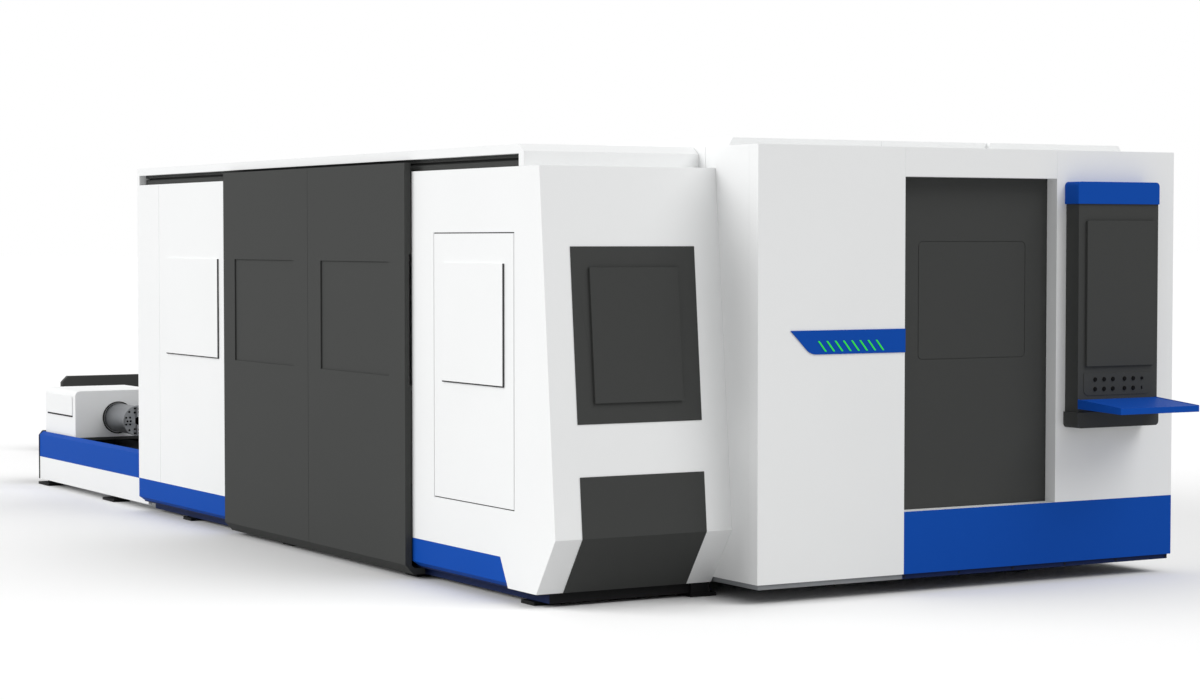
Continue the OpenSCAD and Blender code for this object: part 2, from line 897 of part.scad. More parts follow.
// One sliding leaf with a recessed window and two hangers
module side_leaf(y0, y1) {
    x0 = -tube_w - leaf_off;
    inner_x = x0 + leaf_skin_t + leaf_frame_t;
    window_y = y0 + leaf_window_end;
    color(paint_dark) {
        difference() {
            along_y(y0, y1) leaf_profile();
            box([x0 - over, window_y, window_z0], [x0 + leaf_window_d, window_y + leaf_window_l, window_z1]);
        }
        for (s = hanger_shares)
            translate([inner_x, y0 + s * (y1 - y0), hanger_z + seat_gap])
                cube([tube_wall_x + side_groove_d - seat_gap - inner_x, hanger_l, hanger_t]);
    }
}

module side_door_right() {
    side_leaf(leaf_y, leaf_y + leaf_l - leaf_meet_gap / 2);
}

module side_door_left() {
    side_leaf(leaf_y + leaf_l + leaf_meet_gap / 2, far_y);
}

// Ladder frame under the tube section
module tube_base() {
    low = tube_base_foot;
    end = cab_l - base_end_gap;
    color(paint_black) {
        box([-tube_base_x, base_front_y, low], [-tube_base_x + tube_base_w, end, tube_base_z]);
        box([-tube_flange_x, base_front_y, tube_base_z - tube_flange_t], [-tube_base_x, cab_l, tube_base_z]);
        box([-tube_base_w, base_post_y + foot_d, low], [0, end, tube_base_z]);
        box([-tube_base_x, base_front_y, low], [-base_post_w, base_front_y + base_front_w, tube_base_z]);
        box([-base_post_w, base_post_y, low], [0, base_post_y + foot_d, tube_base_z]);
        for (s = base_cross_shares)
            box([-tube_base_x, s * cab_l - foot_d / 2, low], [0, s * cab_l + foot_d / 2, tube_base_z]);
    }
}

// Rear end of the tube section with the opening that the headstock passes
module tube_end_wall() {
    color(paint_white) difference() {
        box([tube_wall_x, cab_l - wall_t, tube_base_z], [0, cab_l, roof_band_z]);
        box([-chuck_x - tube_opening_side, cab_l - wall_t - over, tube_base_z - over],
            [-chuck_x + tube_opening_side, cab_l + over, tube_opening_top]);
    }
}

// Welded tube bed: two long beams, cross members and the end plate
module tube_bed() {
    plate_side = cover_side + end_plate_over;
    beam_end = bed_end - end_plate_t;
    cross_step = (beam_end - tube_bed_y0 - tube_cross_w) / (tube_cross_count - 1);
    color(paint_grey) {
        both_tube_sides() box([-chuck_x - bed_side, tube_bed_y0, tube_base_z],
            [-chuck_x - bed_side + bed_side_w, beam_end, bed_side_top]);
        for (i = [0:tube_cross_count - 1])
            translate([-chuck_x - bed_side + bed_side_w, tube_bed_y0 + i * cross_step, tube_base_z])
                cube([2 * (bed_side - bed_side_w), tube_cross_w, tube_cross_h]);
        along_y(beam_end, bed_end) polygon([
            [-chuck_x - plate_side, lower_cover_z],
            [-chuck_x + plate_side, lower_cover_z],
            [-chuck_x + plate_side, upper_cover_top - end_plate_chamfer],
            [-chuck_x + plate_side - end_plate_chamfer, upper_cover_top + end_plate_over],
            [-chuck_x - plate_side + end_plate_chamfer, upper_cover_top + end_plate_over],
            [-chuck_x - plate_side, upper_cover_top - end_plate_chamfer]]);
    }
}

module tube_bed_lower_covers() {
    color(paint_white) both_tube_sides()
        box([-chuck_x - cover_side, cab_l, lower_cover_z],
            [-chuck_x - bed_side, bed_end - end_plate_t, lower_cover_top]);
}

// Blue upper covers, folded inward along the top
module tube_bed_upper_covers() {
    x0 = -chuck_x - cover_side;
    x1 = -chuck_x - bed_side;
    color(paint_blue) both_tube_sides() along_y(cab_l, bed_end - end_plate_t) polygon([
        [x0, lower_cover_top], [x1, lower_cover_top], [x1, bed_side_top],
        [x0 + cover_sheet, bed_side_top], [x0 + cover_sheet, upper_cover_bend - cover_sheet / 2],
        [x0 + upper_cover_in + cover_sheet, upper_cover_top - cover_sheet / 2],
        [x0 + upper_cover_in, upper_cover_top], [x0, upper_cover_bend]]);
}

// Linear rails of the gantry and of the headstock
module guide_rails() {
    color(steel) {
        both_cabin_sides() box([bed_foot_x - rail_w / 2, bed_y0, bed_top],
            [bed_foot_x + rail_w / 2, bed_y1, bed_top + rail_h]);
        both_tube_sides() box([-chuck_x - tube_rail_side - tube_rail_w / 2, tube_bed_y0, bed_side_top],
            [-chuck_x - tube_rail_side + tube_rail_w / 2, bed_end - end_plate_t, bed_side_top + tube_rail_h]);
    }
}

// Column and row places of the console's controls
plate_left = console_x + plate_x;
control_z = [for (s = button_row_shares) plate_z0 + s * (plate_z1 - plate_z0)];
last_x = plate_left + last_column_share * plate_w;
button_r = button_d / 2;
key_r = key_share_of_button * button_r;
plate_face = -console_d - plate_t;

// Holes of the push buttons, the key switch and the socket
module control_cuts(depth) {
    for (s = button_shares, z = control_z)
        along_y_round(plate_left + s * plate_w, plate_face - over, plate_face + depth, z,
            button_r + seat_gap);
    along_y_round(last_x, plate_face - over, plate_face + depth, control_z[0], key_r + seat_gap);
    translate([last_x - socket_w / 2, plate_face - over, control_z[1] - socket_h / 2])
        cube([socket_w, depth + over, socket_h]);
}

// Console housing with its thicker rounded base
module console_housing() {
    color(paint_dark) difference() {
        union() {
            box([console_x + console_body_in, -console_d, console_z + console_base_h],
                [console_x + console_w - console_body_right, 0, console_top - console_cap_h]);
            along_y(-console_base_d, 0) mirror([0, 1]) round_top(
                [console_x, -console_z - console_base_h], [console_x + console_w, -console_z], console_r);
        }
        control_cuts(button_pocket);
    }
}

module console_cap() {
    color(paint_blue) along_y(-console_cap_d, 0) round_top(
        [console_x, console_top - console_cap_h], [console_x + console_w, console_top], console_r);
}

module screen_plate() {
    color(paint_dark) along_y(-console_d - screen_t, -console_d) round_rect(
        [console_x + screen_x, screen_z0], [console_x + screen_x + screen_w, screen_z1], screen_r);
}

// Thin plate of the controls with round lower corners
module button_plate() {
    color(paint_dark) difference() {
        along_y(plate_face, -console_d) mirror([0, 1]) round_top(
            [plate_left, -plate_z1], [plate_left + plate_w, -plate_z0], plate_r);
        control_cuts(plate_t + over);
    }
}

// Push button with a chamfered rim
module push_button(i) {
    column = floor(i / 2);
    row = i % 2;
    length = button_out + plate_t + button_in;
    x = plate_left + button_shares[column] * plate_w;
    color(paint_black)
        translate([x, plate_face - button_out + length, control_z[row]])
            rotate([90, 0, 0]) rotate_extrude() polygon([
                [0, 0], [button_r, 0], [button_r, length - button_edge],
                [button_r - button_edge, length], [0, length]]);
}

// Key switch with a flat grip
module key_switch() {
    length = key_out + plate_t + button_in;
    color(steel) translate([last_x, plate_face - key_out, control_z[0]]) {
        translate([0, length, 0]) rotate([90, 0, 0]) rotate_extrude() polygon([
            [0, 0], [key_r, 0], [key_r, length - button_edge], [key_r - button_edge, length], [0, length]]);
        box([-key_grip_w / 2, -key_grip_out, -key_r + button_edge], [key_grip_w / 2, 0, key_r - button_edge]);
    }
}

// Blue wedge-shaped keyboard shelf with raised side rims
module keyboard_shelf() {
    x0 = console_x + console_body_in;
    x1 = console_x + console_w - console_body_in;
    front_y = -console_d - shelf_d;
    front_z = shelf_back_z - shelf_front_drop;
    color(paint_blue) {
        along_x(x0, x1) polygon([
            [-console_d, shelf_back_z], [-console_d, shelf_back_z - shelf_back_t],
            [front_y, front_z - shelf_front_t], [front_y, front_z]]);
        for (x = [x0, x1 - shelf_rim_w]) along_x(x, x + shelf_rim_w) polygon([
            [-console_d, shelf_back_z], [front_y, front_z],
            [front_y, front_z + shelf_rim_h], [-console_d, shelf_back_z + shelf_rim_h]]);
    }
}

// Shuttle table: side beams with ledges, legs, cross beams and the rear guard
module shuttle_frame() {
    y0 = cab_l;
    y1 = shuttle_end - guard_t;
    beam_top = pallet_z - seat_gap;
    inner = shuttle_x + shuttle_beam_w;
    color(paint_dark) {
        both_cabin_sides() {
            box([shuttle_x, y0, beam_top - shuttle_beam_h], [inner + ledge_w, y1, beam_top]);
            for (s = shuttle_leg_shares)
                translate([shuttle_x, y0 + s * (y1 - y0), 0])
                    cube([shuttle_beam_w, shuttle_leg_w, beam_top - shuttle_beam_h]);
        }
        for (s = shuttle_leg_shares)
            translate([inner + ledge_w, y0 + s * (y1 - y0), beam_top - shuttle_beam_h])
                cube([cab_w - 2 * (inner + ledge_w), shuttle_leg_w, shuttle_leg_w]);
        along_y(y1, shuttle_end) polygon([
            [guard_x, guard_z], [cab_w - guard_x, guard_z], [cab_w - guard_x, guard_top - guard_chamfer],
            [cab_w - guard_x - guard_chamfer, guard_top], [guard_x + guard_chamfer, guard_top],
            [guard_x, guard_top - guard_chamfer]]);
    }
}

// Pallet frame with ribs
module pallet() {
    x0 = bed_x + bed_beam_w + pallet_in;
    x1 = cab_w - x0;
    rib_step = (pallet_l - pallet_beam) / (pallet_rib_count + 1);
    color(paint_grey) {
        for (x = [x0, x1 - pallet_beam])
            translate([x, pallet_y, pallet_z]) cube([pallet_beam, pallet_l, pallet_h]);
        for (i = [0:pallet_rib_count + 1])
            translate([x0 + pallet_beam, pallet_y + i * rib_step, pallet_z])
                cube([x1 - x0 - 2 * pallet_beam, pallet_beam, pallet_h]);
    }
}

// Toothed support slats that stand on the pallet
module pallet_slats() {
    x0 = bed_x + bed_beam_w + pallet_in + slat_in;
    x1 = cab_w - x0;
    tooth_count = floor((x1 - x0) / tooth_w);
    tooth = (x1 - x0) / tooth_count;
    slat_count = floor((pallet_l - 2 * slat_in) / slat_pitch);
    z0 = pallet_z + pallet_h;
    color(steel) for (i = [0:slat_count])
        translate([0, pallet_y + slat_in + i * slat_pitch, 0]) along_y(0, slat_t) polygon(concat(
            [[x1, z0], [x0, z0]],
            [for (k = [0:tooth_count - 1]) each [
                [x0 + k * tooth, z0 + slat_h - tooth_h],
                [x0 + (k + 1 / 2) * tooth, z0 + slat_h]]],
            [[x1, z0 + slat_h - tooth_h]]));
}

// Cabinet of the laser source and the drives behind the front left panel
module power_cabinet() {
    door_edge = wall_t;
    color(paint_grey) {
        box([cabinet_x0, cabinet_y0, cab_base], [cabinet_x1, cabinet_y1, cabinet_top]);
        box([cabinet_x0 + door_edge, cabinet_y1, cab_base + door_edge],
            [cabinet_x1 - door_edge, cabinet_y1 + cabinet_door_t, cabinet_top - door_edge]);
    }
}

// Arched housing of the front chuck
module front_chuck_housing() {
    y1 = front_chuck_y + front_chuck_l;
    color(paint_grey) difference() {
        union() {
            box([-chuck_x - front_housing_side, front_chuck_y, tube_base_z],
                [-chuck_x + front_housing_side, y1, chuck_z]);
            along_y_round(-chuck_x, front_chuck_y, y1, chuck_z, front_housing_r);
        }
        along_y_round(-chuck_x, front_chuck_y - over, y1 + over, chuck_z, front_chuck_r + spin_play);
    }
}

// Jaws around a passage of radius inner, clear of it
module chuck_jaws(y0, y1, inner, length) {
    for (i = [0:jaw_count - 1])
        translate([-chuck_x, 0, chuck_z]) rotate([0, i * 360 / jaw_count, 0])
            box([inner, y0, -jaw_w / 2], [inner + length, y1, jaw_w / 2]);
}

// Turning ring of the front chuck
module front_chuck() {
    y0 = front_chuck_y - front_ring_out;
    y1 = front_chuck_y + front_chuck_l + front_ring_out;
    color(steel) {
        difference() {
            along_y_round(-chuck_x, y0, y1, chuck_z, front_chuck_r);
            along_y_round(-chuck_x, y0 - over, y1 + over, chuck_z, passage_r);
        }
        chuck_jaws(y1, y1 + jaw_t, passage_r, jaw_l);
    }
}

// Headstock box with round upper edges, a spindle bore and a raised side cover
module headstock_housing() {
    x0 = -chuck_x - headstock_side;
    x1 = -chuck_x + headstock_side;
    y1 = headstock_y + headstock_l;
    cover_y0 = headstock_y + headstock_cover_y;
    color(paint_white) {
        difference() {
            along_y(headstock_y, y1) round_top([x0, headstock_z], [x1, headstock_top], headstock_r);
            along_y_round(-chuck_x, headstock_y - over, headstock_y + spindle_l + over, chuck_z,
                spindle_r + spin_play);
        }
        along_x(x0 - headstock_cover_out, x0) round_top([cover_y0, headstock_cover_z],
            [cover_y0 + headstock_cover_l, headstock_cover_z + headstock_cover_h], headstock_r / 2);
    }
}

// Dark carriage plate with runners beside the rails
module headstock_carriage() {
    y1 = headstock_y + headstock_l;
    slot = tube_rail_w / 2 + tongue_play;
    color(paint_dark) {
        box([-chuck_x - carriage_side, headstock_y, carriage_z], [-chuck_x + carriage_side, y1, headstock_z]);
        both_tube_sides() for (y = [headstock_y + runner_inset, y1 - runner_inset - runner_l])
            for (x = [-slot - runner_w, slot])
                translate([-chuck_x - tube_rail_side + x, y, carriage_z - runner_h])
                    cube([runner_w, runner_l, runner_h]);
    }
}

// Rear chuck: drum with a stepped face, jaws, drilled face and spindle
module rear_chuck() {
    back = headstock_y - seat_gap;
    color(steel) {
        difference() {
            union() {
                along_y_round(-chuck_x, rear_chuck_y, rear_chuck_y + chuck_flange_l, chuck_z, rear_chuck_r);
                along_y_round(-chuck_x, rear_chuck_y + chuck_flange_l, back, chuck_z,
                    rear_chuck_r - chuck_flange_cut);
                along_y_round(-chuck_x, back, headstock_y + spindle_l, chuck_z, spindle_r);
            }
            along_y_round(-chuck_x, rear_chuck_y - over, headstock_y + spindle_l + over, chuck_z,
                rear_passage_r);
            for (i = [0:face_hole_count - 1])
                translate([-chuck_x, 0, chuck_z]) rotate([0, (i + 1 / 2) * 360 / face_hole_count, 0])
                    along_y_round(face_hole_ring, rear_chuck_y - over, rear_chuck_y + face_hole_depth, 0,
                        face_hole_r);
        }
        chuck_jaws(rear_chuck_y - jaw_t, rear_chuck_y, rear_passage_r, rear_jaw_l);
    }
}

// Gantry beam with its trucks and the carriage's rails
module gantry_beam() {
    truck_z = bed_top + rail_h + seat_gap;
    color(steel) {
        box([-beam_left, beam_y, beam_z], [cab_w - beam_right, beam_y + beam_d, beam_z + beam_h]);
        both_cabin_sides()
            box([bed_x, beam_y, truck_z], [bed_x + bed_beam_w, beam_y + truck_l, beam_z]);
        for (s = beam_rail_shares)
            box([-beam_left, beam_y - beam_rail_d, beam_z + s * beam_h],
                [cab_w - beam_right, beam_y, beam_z + s * beam_h + beam_rail_h]);
    }
}

carriage_back = beam_y - beam_rail_d - seat_gap;
carriage_face = carriage_back - carriage_d;

// Carriage on the beam with the cutting head's vertical rails
module head_carriage() {
    z0 = beam_z - carriage_down;
    z1 = beam_z + beam_h + carriage_up;
    color(paint_dark) {
        box([nozzle_x - carriage_w / 2, carriage_face, z0], [nozzle_x + carriage_w / 2, carriage_back, z1]);
        for (side = [-1, 1])
            translate([nozzle_x + side * lift_rail_x - lift_rail_w / 2, carriage_face - lift_rail_d, z0])
                cube([lift_rail_w, lift_rail_d, z1 - z0]);
    }
}

// Cutting head with its slide plate, clamp, cone and nozzle
module laser_head() {
    slide_back = carriage_face - lift_rail_d - seat_gap;
    color(steel) {
        translate([nozzle_x - slide_w / 2, slide_back - slide_t, nozzle_z + slide_z])
            cube([slide_w, slide_t, slide_h]);
        box([nozzle_x - clamp_w / 2, nozzle_y, nozzle_z + clamp_z],
            [nozzle_x + clamp_w / 2, slide_back - slide_t, nozzle_z + clamp_z + clamp_h]);
        translate([nozzle_x, nozzle_y, nozzle_z]) rotate_extrude() polygon([
            [0, 0], [nozzle_tip_r, 0], [nozzle_r, nozzle_h], [head_r, head_cone_z],
            [head_r, head_top], [0, head_top]]);
    }
}

placed() sheet_bed();
placed() levelling_feet();
placed() cabin_base_rail();
placed() cabin_left_wall();
placed() cabin_right_wall();
placed() cabin_rear_wall();
placed() cabin_roof();
placed() roof_covers();
placed() front_left_panel();
placed() front_right_panel();
placed() door_header();
placed() front_plinth();
placed() accent_strip();
placed() accent_lights();
placed() door_tracks();
placed() nose_side_panel();
placed() nose_end_panel();
placed() nose_hatch();
placed() nose_lower_panel();
placed() service_panel();
placed() far_side_panel();
placed() side_plinths();
placed() tube_roof();
placed() tube_base();
placed() tube_end_wall();
placed() tube_bed();
placed() tube_bed_lower_covers();
placed() tube_bed_upper_covers();
placed() guide_rails();
placed() console_housing();
placed() console_cap();
placed() screen_plate();
placed() button_plate();
placed() keyboard_shelf();
placed() shuttle_frame();
placed() front_chuck_housing();
placed() power_cabinet();
placed() front_door();
placed() side_door_left();
placed() side_door_right();
placed() gantry_beam();
placed() head_carriage();
placed() laser_head();
placed() pallet();
placed() pallet_slats();
placed() headstock_housing();
placed() headstock_carriage();
placed() rear_chuck();
placed() front_chuck();
placed() key_switch();
for (i = [0:9])
    placed() push_button(i);
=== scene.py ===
"""Finishes, fittings and studio of the sheet and tube laser cutting machine.

The file is laid out as an add-on and is run as a script.
"""

import json
import math

import bmesh
import bpy
from bpy.props import FloatProperty, FloatVectorProperty, IntProperty, PointerProperty
from mathutils import Matrix, Vector

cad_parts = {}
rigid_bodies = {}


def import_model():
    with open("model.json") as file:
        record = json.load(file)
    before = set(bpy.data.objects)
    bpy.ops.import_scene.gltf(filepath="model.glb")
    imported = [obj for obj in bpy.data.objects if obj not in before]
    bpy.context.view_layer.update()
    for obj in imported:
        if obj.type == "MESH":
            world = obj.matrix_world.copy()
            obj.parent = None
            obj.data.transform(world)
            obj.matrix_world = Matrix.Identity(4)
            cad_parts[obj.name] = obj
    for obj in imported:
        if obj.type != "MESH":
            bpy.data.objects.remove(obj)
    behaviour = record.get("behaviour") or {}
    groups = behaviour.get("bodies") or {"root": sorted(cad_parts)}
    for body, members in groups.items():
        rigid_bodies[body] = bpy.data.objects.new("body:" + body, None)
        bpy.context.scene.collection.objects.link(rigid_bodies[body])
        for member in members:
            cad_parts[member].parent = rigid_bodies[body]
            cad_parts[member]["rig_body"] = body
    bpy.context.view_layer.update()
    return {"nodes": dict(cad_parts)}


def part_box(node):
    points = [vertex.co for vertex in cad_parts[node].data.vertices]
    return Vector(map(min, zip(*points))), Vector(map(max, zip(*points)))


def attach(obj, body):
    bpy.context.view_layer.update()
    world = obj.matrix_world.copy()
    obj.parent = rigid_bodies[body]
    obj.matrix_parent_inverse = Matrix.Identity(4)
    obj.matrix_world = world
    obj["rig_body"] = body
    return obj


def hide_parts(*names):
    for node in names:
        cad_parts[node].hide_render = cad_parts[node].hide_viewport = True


bl_info = {
    "name": "Sheet and tube laser cutting machine",
    "version": (1, 0, 0),
    "blender": (4, 5, 0),
    "location": "View3D > Sidebar > Laser machine",
    "description": "Finishes, small fittings and studio of an enclosed laser cutting machine",
    "category": "Object",
}

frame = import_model()

MM = 0.001
SENSOR_MM = 36.0
VIEW_DEPTH = 1000.0


def linear(hex_colour):
    """Turns an sRGB hex colour into linear red, green and blue."""
    parts = [int(hex_colour[i:i + 2], 16) / 255 for i in (1, 3, 5)]
    return tuple(c / 12.92 if c <= 0.04045 else ((c + 0.055) / 1.055) ** 2.4 for c in parts)


def colour_property(name, description, hex_colour):
    """A colour that a user may change, given as sRGB hex."""
    return FloatVectorProperty(name=name, description=description, subtype="COLOR", size=3,
                               min=0.0, max=1.0, default=linear(hex_colour))


def length_property(name, description, millimetres):
    """A length that a user may change, given in millimetres and kept in metres."""
    return FloatProperty(name=name, description=description, unit="LENGTH", subtype="DISTANCE",
                         min=0.0, default=millimetres * MM, precision=4)


class MachineColours(bpy.types.PropertyGroup):
    """Colours of the machine's paints and bare materials."""
    white: colour_property("White paint", "Powder coat of the large panels", "#F4F5F5")
    dark: colour_property("Dark paint", "Textured powder coat of doors, hatch and console", "#454645")
    blue: colour_property("Blue paint", "Powder coat of plinths, cap, shelf and covers", "#144EAE")
    # The navy is the blue darkened as painted shade, for the low beams and the lip under the panels.
    blue_in_painted_shade: colour_property("Navy paint", "Paint of the low beams under the panels", "#16244C")
    black: colour_property("Black paint", "Paint of the feet and the inner base", "#1A1A1B")
    grey: colour_property("Grey enamel", "Enamel of the welded beds and the cabinet", "#8A8D90")
    steel: colour_property("Machined steel", "Bare steel of rails, slats and head", "#9C9EA1")
    chuck: colour_property("Chuck steel", "Oiled steel of the chucks", "#828487")
    # A lighter copy of the chuck steel for the chuck's front faces: partly a ground face, partly painted
    # light on a face that lies in shade.
    chuck_face_with_painted_light: colour_property("Chuck face steel", "Ground face of the rear chuck", "#BCBEC0")
    aluminium: colour_property("Cast aluminium", "Bare casting of the gantry beam", "#BFC1C3")
    copper: colour_property("Copper", "Turned tip of the cutting nozzle", "#B8754A")
    green: colour_property("Green lens", "Lit lenses of the accent", "#24DA2C")
    control: colour_property("Control plastic", "Moulded caps of the push buttons", "#070707")
    # This dark serves the ring around the chuck's drum, and as painted shade for the strips under the
    # headstock covers, in the service panel's seam and under the window plates.
    rubber: colour_property("Seal rubber", "Moulded seals of headstock, panel and plates", "#151515")
    # Painted shade: this grey darkens the sides and lower edge of the raised window plates.
    plate_edge_shade: colour_property("Grey rubber", "Edge seals of the raised window plates", "#4E4E4F")
    spatter: colour_property("Spatter tint", "Brown heat tint on the slats", "#5A4A3E")
    oxide: colour_property("Black oxide", "Blackened screws", "#2A2A2C")


class MachineSizes(bpy.types.PropertyGroup):
    """Sizes of the rounded edges and of the small fittings."""
    sheet_edge: length_property("Sheet edge", "Radius of a folded sheet's edges", 1.4)
    plate_edge: length_property("Plate edge", "Radius of thick plates, beams and castings", 3.0)
    control_edge: length_property("Control edge", "Radius of the small controls' edges", 0.6)
    bolt_radius: length_property("Bolt radius", "Radius of the plinth lip's bolt heads", 7.0)
    bolt_height: length_property("Bolt height", "Height of the bolt and screw heads", 4.0)
    bolt_inset: length_property("Bolt inset", "Distance of the outer bolts from the lip's ends", 12.0)
    lip_set_back: length_property("Lip set-back", "Distance of the lip behind the plinth's face", 15.0)
    lip_height: length_property("Lip height", "Height of the plinth's lower lip", 28.0)
    end_plate: length_property("End plate", "Depth of the dark end plate of the tube bed", 15.0)
    jaw_height: length_property("Jaw height", "Height of the chuck's jaws above its face", 22.0)
    face_screw: length_property("Face screw", "Radius of the screws in the chuck's face and jaws", 8.5)
    outer_ring: length_property("Outer ring", "Ring radius of the outer screws in the chuck's face", 100.0)
    inner_ring: length_property("Inner ring", "Ring radius of the inner screws in the chuck's face", 70.0)
    jaw_ring: length_property("Jaw screw ring", "Radius of the outer screws in the chuck's jaws", 94.0)
    jaw_step: length_property("Jaw screw step", "Distance between the screws in a jaw", 26.0)
    nozzle_height: length_property("Nozzle height", "Height of the copper tip of the cutting head", 40.0)
    seal_width: length_property("Seal width", "Width of the seal around the chuck's drum", 8.0)
    seal_depth: length_property("Seal depth", "Depth of the seal around the chuck's drum", 12.0)
    # The dark strips under the headstock's side covers are painted shade.
    shadow_strip_height: length_property("Gasket height", "Height of the gasket under a headstock cover", 11.0)
    shadow_strip_out: length_property("Gasket out", "How far that gasket stands out of the housing", 7.0)
    shadow_strip_top: length_property("Gasket top", "Top of the gaskets above the headstock's foot", 172.0)
    shadow_strip_ends: length_property("Gasket ends", "Distance of the gaskets from the headstock's ends", 66.0)
    cover_out: length_property("Cover out", "How far the headstock's side covers stand out", 8.0)
    seam_width: length_property("Seam width", "Width of the seam around the service panel", 6.0)
    # The dark frame in the service panel's seam is painted shade.
    seam_shade_depth: length_property("Seam seal", "Depth of the rubber frame in that seam", 6.0)
    # The dark strip under each raised window plate is a painted shadow.
    plate_shadow_height: length_property("Plate lip", "Height of the lip under each raised window plate", 7.0)
    plate_shadow_out: length_property("Plate lip out", "How far that lip stands out of the panel", 9.0)
    strip_width: length_property("Strip width", "Width of the joint strips on the cabin's walls", 60.0)
    strip_thickness: length_property("Strip thickness", "Thickness of the joint strips", 2.0)
    strip_margin: length_property("Strip margin", "Distance of the strips from the walls' edges", 30.0)
    strip_screw: length_property("Strip screw", "Radius of the screws in the joint strips", 6.0)
    rear_strip_low: length_property("Rear strip low", "Start of the rear strips above the wall", 680.0)


class MachineCounts(bpy.types.PropertyGroup):
    """Counts of the small fittings."""
    lip_bolts: IntProperty(name="Lip bolts", description="Bolts along the plinth's lip", default=6, min=2)
    outer_screws: IntProperty(name="Outer screws", description="Outer screws in the chuck's face",
                              default=12, min=3)
    inner_screws: IntProperty(name="Inner screws", description="Inner screws in the chuck's face",
                              default=8, min=3)
    jaws: IntProperty(name="Jaws", description="Jaws of each chuck", default=4, min=2)
    side_joints: IntProperty(name="Side joints", description="Joints in the right wall", default=3, min=1)
    rear_joints: IntProperty(name="Rear joints", description="Joints in the rear wall", default=2, min=1)
    strip_screws: IntProperty(name="Strip screws", description="Screws in a joint strip", default=7, min=2)


class StudioSettings(bpy.types.PropertyGroup):
    """Camera and light of the studio."""
    camera_place: FloatVectorProperty(
        name="Camera place", description="Where the camera stands", subtype="XYZ", unit="LENGTH",
        size=3, default=(-8.7452, -17.6460, 1.9639))
    camera_yaw: FloatProperty(
        name="Camera yaw", description="Turn of the view from straight ahead to the right",
        subtype="ANGLE", default=math.radians(30.115))
    camera_pitch: FloatProperty(
        name="Camera pitch", description="Downward tilt of the view", subtype="ANGLE",
        default=math.radians(2.365))
    focal_length: FloatProperty(
        name="Focal length", description="Focal length in millimetres on a 36 mm wide sensor",
        unit="CAMERA", default=79.66)
    sky_level: FloatProperty(
        name="Sky level", description="Strength of the even light from all sides", default=0.52, min=0.0)
    side_level: FloatProperty(
        name="Side lamp level", description="Strength of the soft lamp on the left", default=1.72, min=0.0)
    side_height: FloatProperty(
        name="Side lamp height", description="Angle of the left lamp above the horizon", subtype="ANGLE",
        default=math.radians(23))
    side_turn: FloatProperty(
        name="Side lamp turn", description="Turn of the left lamp from the right side, through the front",
        subtype="ANGLE", default=math.radians(205))
    front_level: FloatProperty(
        name="Front lamp level", description="Strength of the soft lamp at the front right", default=1.22,
        min=0.0)
    front_height: FloatProperty(
        name="Front lamp height", description="Angle of the front lamp above the horizon", subtype="ANGLE",
        default=math.radians(47))
    front_turn: FloatProperty(
        name="Front lamp turn", description="Turn of the front lamp from the right side, through the front",
        subtype="ANGLE", default=math.radians(58))
    lamp_width: FloatProperty(
        name="Lamp width", description="Angle that each lamp fills, wider for softer shadows",
        subtype="ANGLE", default=math.radians(40))
    floor_bounce: FloatProperty(
        name="Floor bounce", description="Share of the light that the floor throws back",
        subtype="FACTOR", default=0.63, min=0.0, max=1.0)
    floor_white: FloatProperty(
        name="Floor white", description="Paleness of the floor to the eye", subtype="FACTOR",
        default=1.0, min=0.0, max=1.0)
    floor_size: FloatProperty(
        name="Floor size", description="Side of the square floor", unit="LENGTH", default=600.0)


class MachineLooks(bpy.types.PropertyGroup):
    """All settings of the machine's looks."""
    colours: PointerProperty(type=MachineColours)
    sizes: PointerProperty(type=MachineSizes)
    counts: PointerProperty(type=MachineCounts)
    studio: PointerProperty(type=StudioSettings)


def looks():
    """The settings of the open scene."""
    return bpy.context.scene.laser_machine


# Finishes

def add(tree, kind, settings=None, inputs=None):
    """Adds a node, sets its settings and fills its inputs with values or with other nodes' outputs."""
    made = tree.nodes.new(kind)
    for name, value in (settings or {}).items():
        setattr(made, name, value)
    for name, value in (inputs or {}).items():
        if isinstance(value, bpy.types.NodeSocket):
            tree.links.new(value, made.inputs[name])
        else:
            made.inputs[name].default_value = value
    return made


def per_metre(millimetres):
    """Scale of a texture whose features are that large."""
    return 1 / (millimetres * MM)


def rgba(colour, share=1.0):
    """Four-part colour, lighter or darker by a share."""
    return (*[min(1.0, c * share) for c in colour], 1.0)


def new_finish(name, **inputs):
    """Starts a material whose uniform values are set on its shader.

    Gives its node tree, its shader and the place of a point on the piece.
    """
    material = bpy.data.materials.new(name)
    material.use_nodes = True
    tree = material.node_tree
    shader = tree.nodes["Principled BSDF"]
    for key, value in inputs.items():
        shader.inputs[key.replace("_", " ")].default_value = value
    place = add(tree, "ShaderNodeTexCoord").outputs["Object"]
    return tree, shader, place


def vary(tree, shader, colour, roughness, bump):
    """Lets patterns drive a shader.

    colour is a pattern with the tones at its low and high end, roughness is a pattern with the values at
    its low and high end, and bump is a pattern with its depth in millimetres and its strength.
    """
    pattern, low, high = colour
    tone = add(tree, "ShaderNodeMix", {"data_type": "RGBA"}, {0: pattern, 6: low, 7: high})
    tree.links.new(tone.outputs[2], shader.inputs["Base Color"])
    pattern, low, high = roughness
    gloss = add(tree, "ShaderNodeMapRange", None, {"Value": pattern, "To Min": low, "To Max": high})
    tree.links.new(gloss.outputs[0], shader.inputs["Roughness"])
    pattern, depth_mm, strength = bump
    skin = add(tree, "ShaderNodeBump", None,
               {"Height": pattern, "Distance": depth_mm * MM, "Strength": strength})
    tree.links.new(skin.outputs[0], shader.inputs["Normal"])


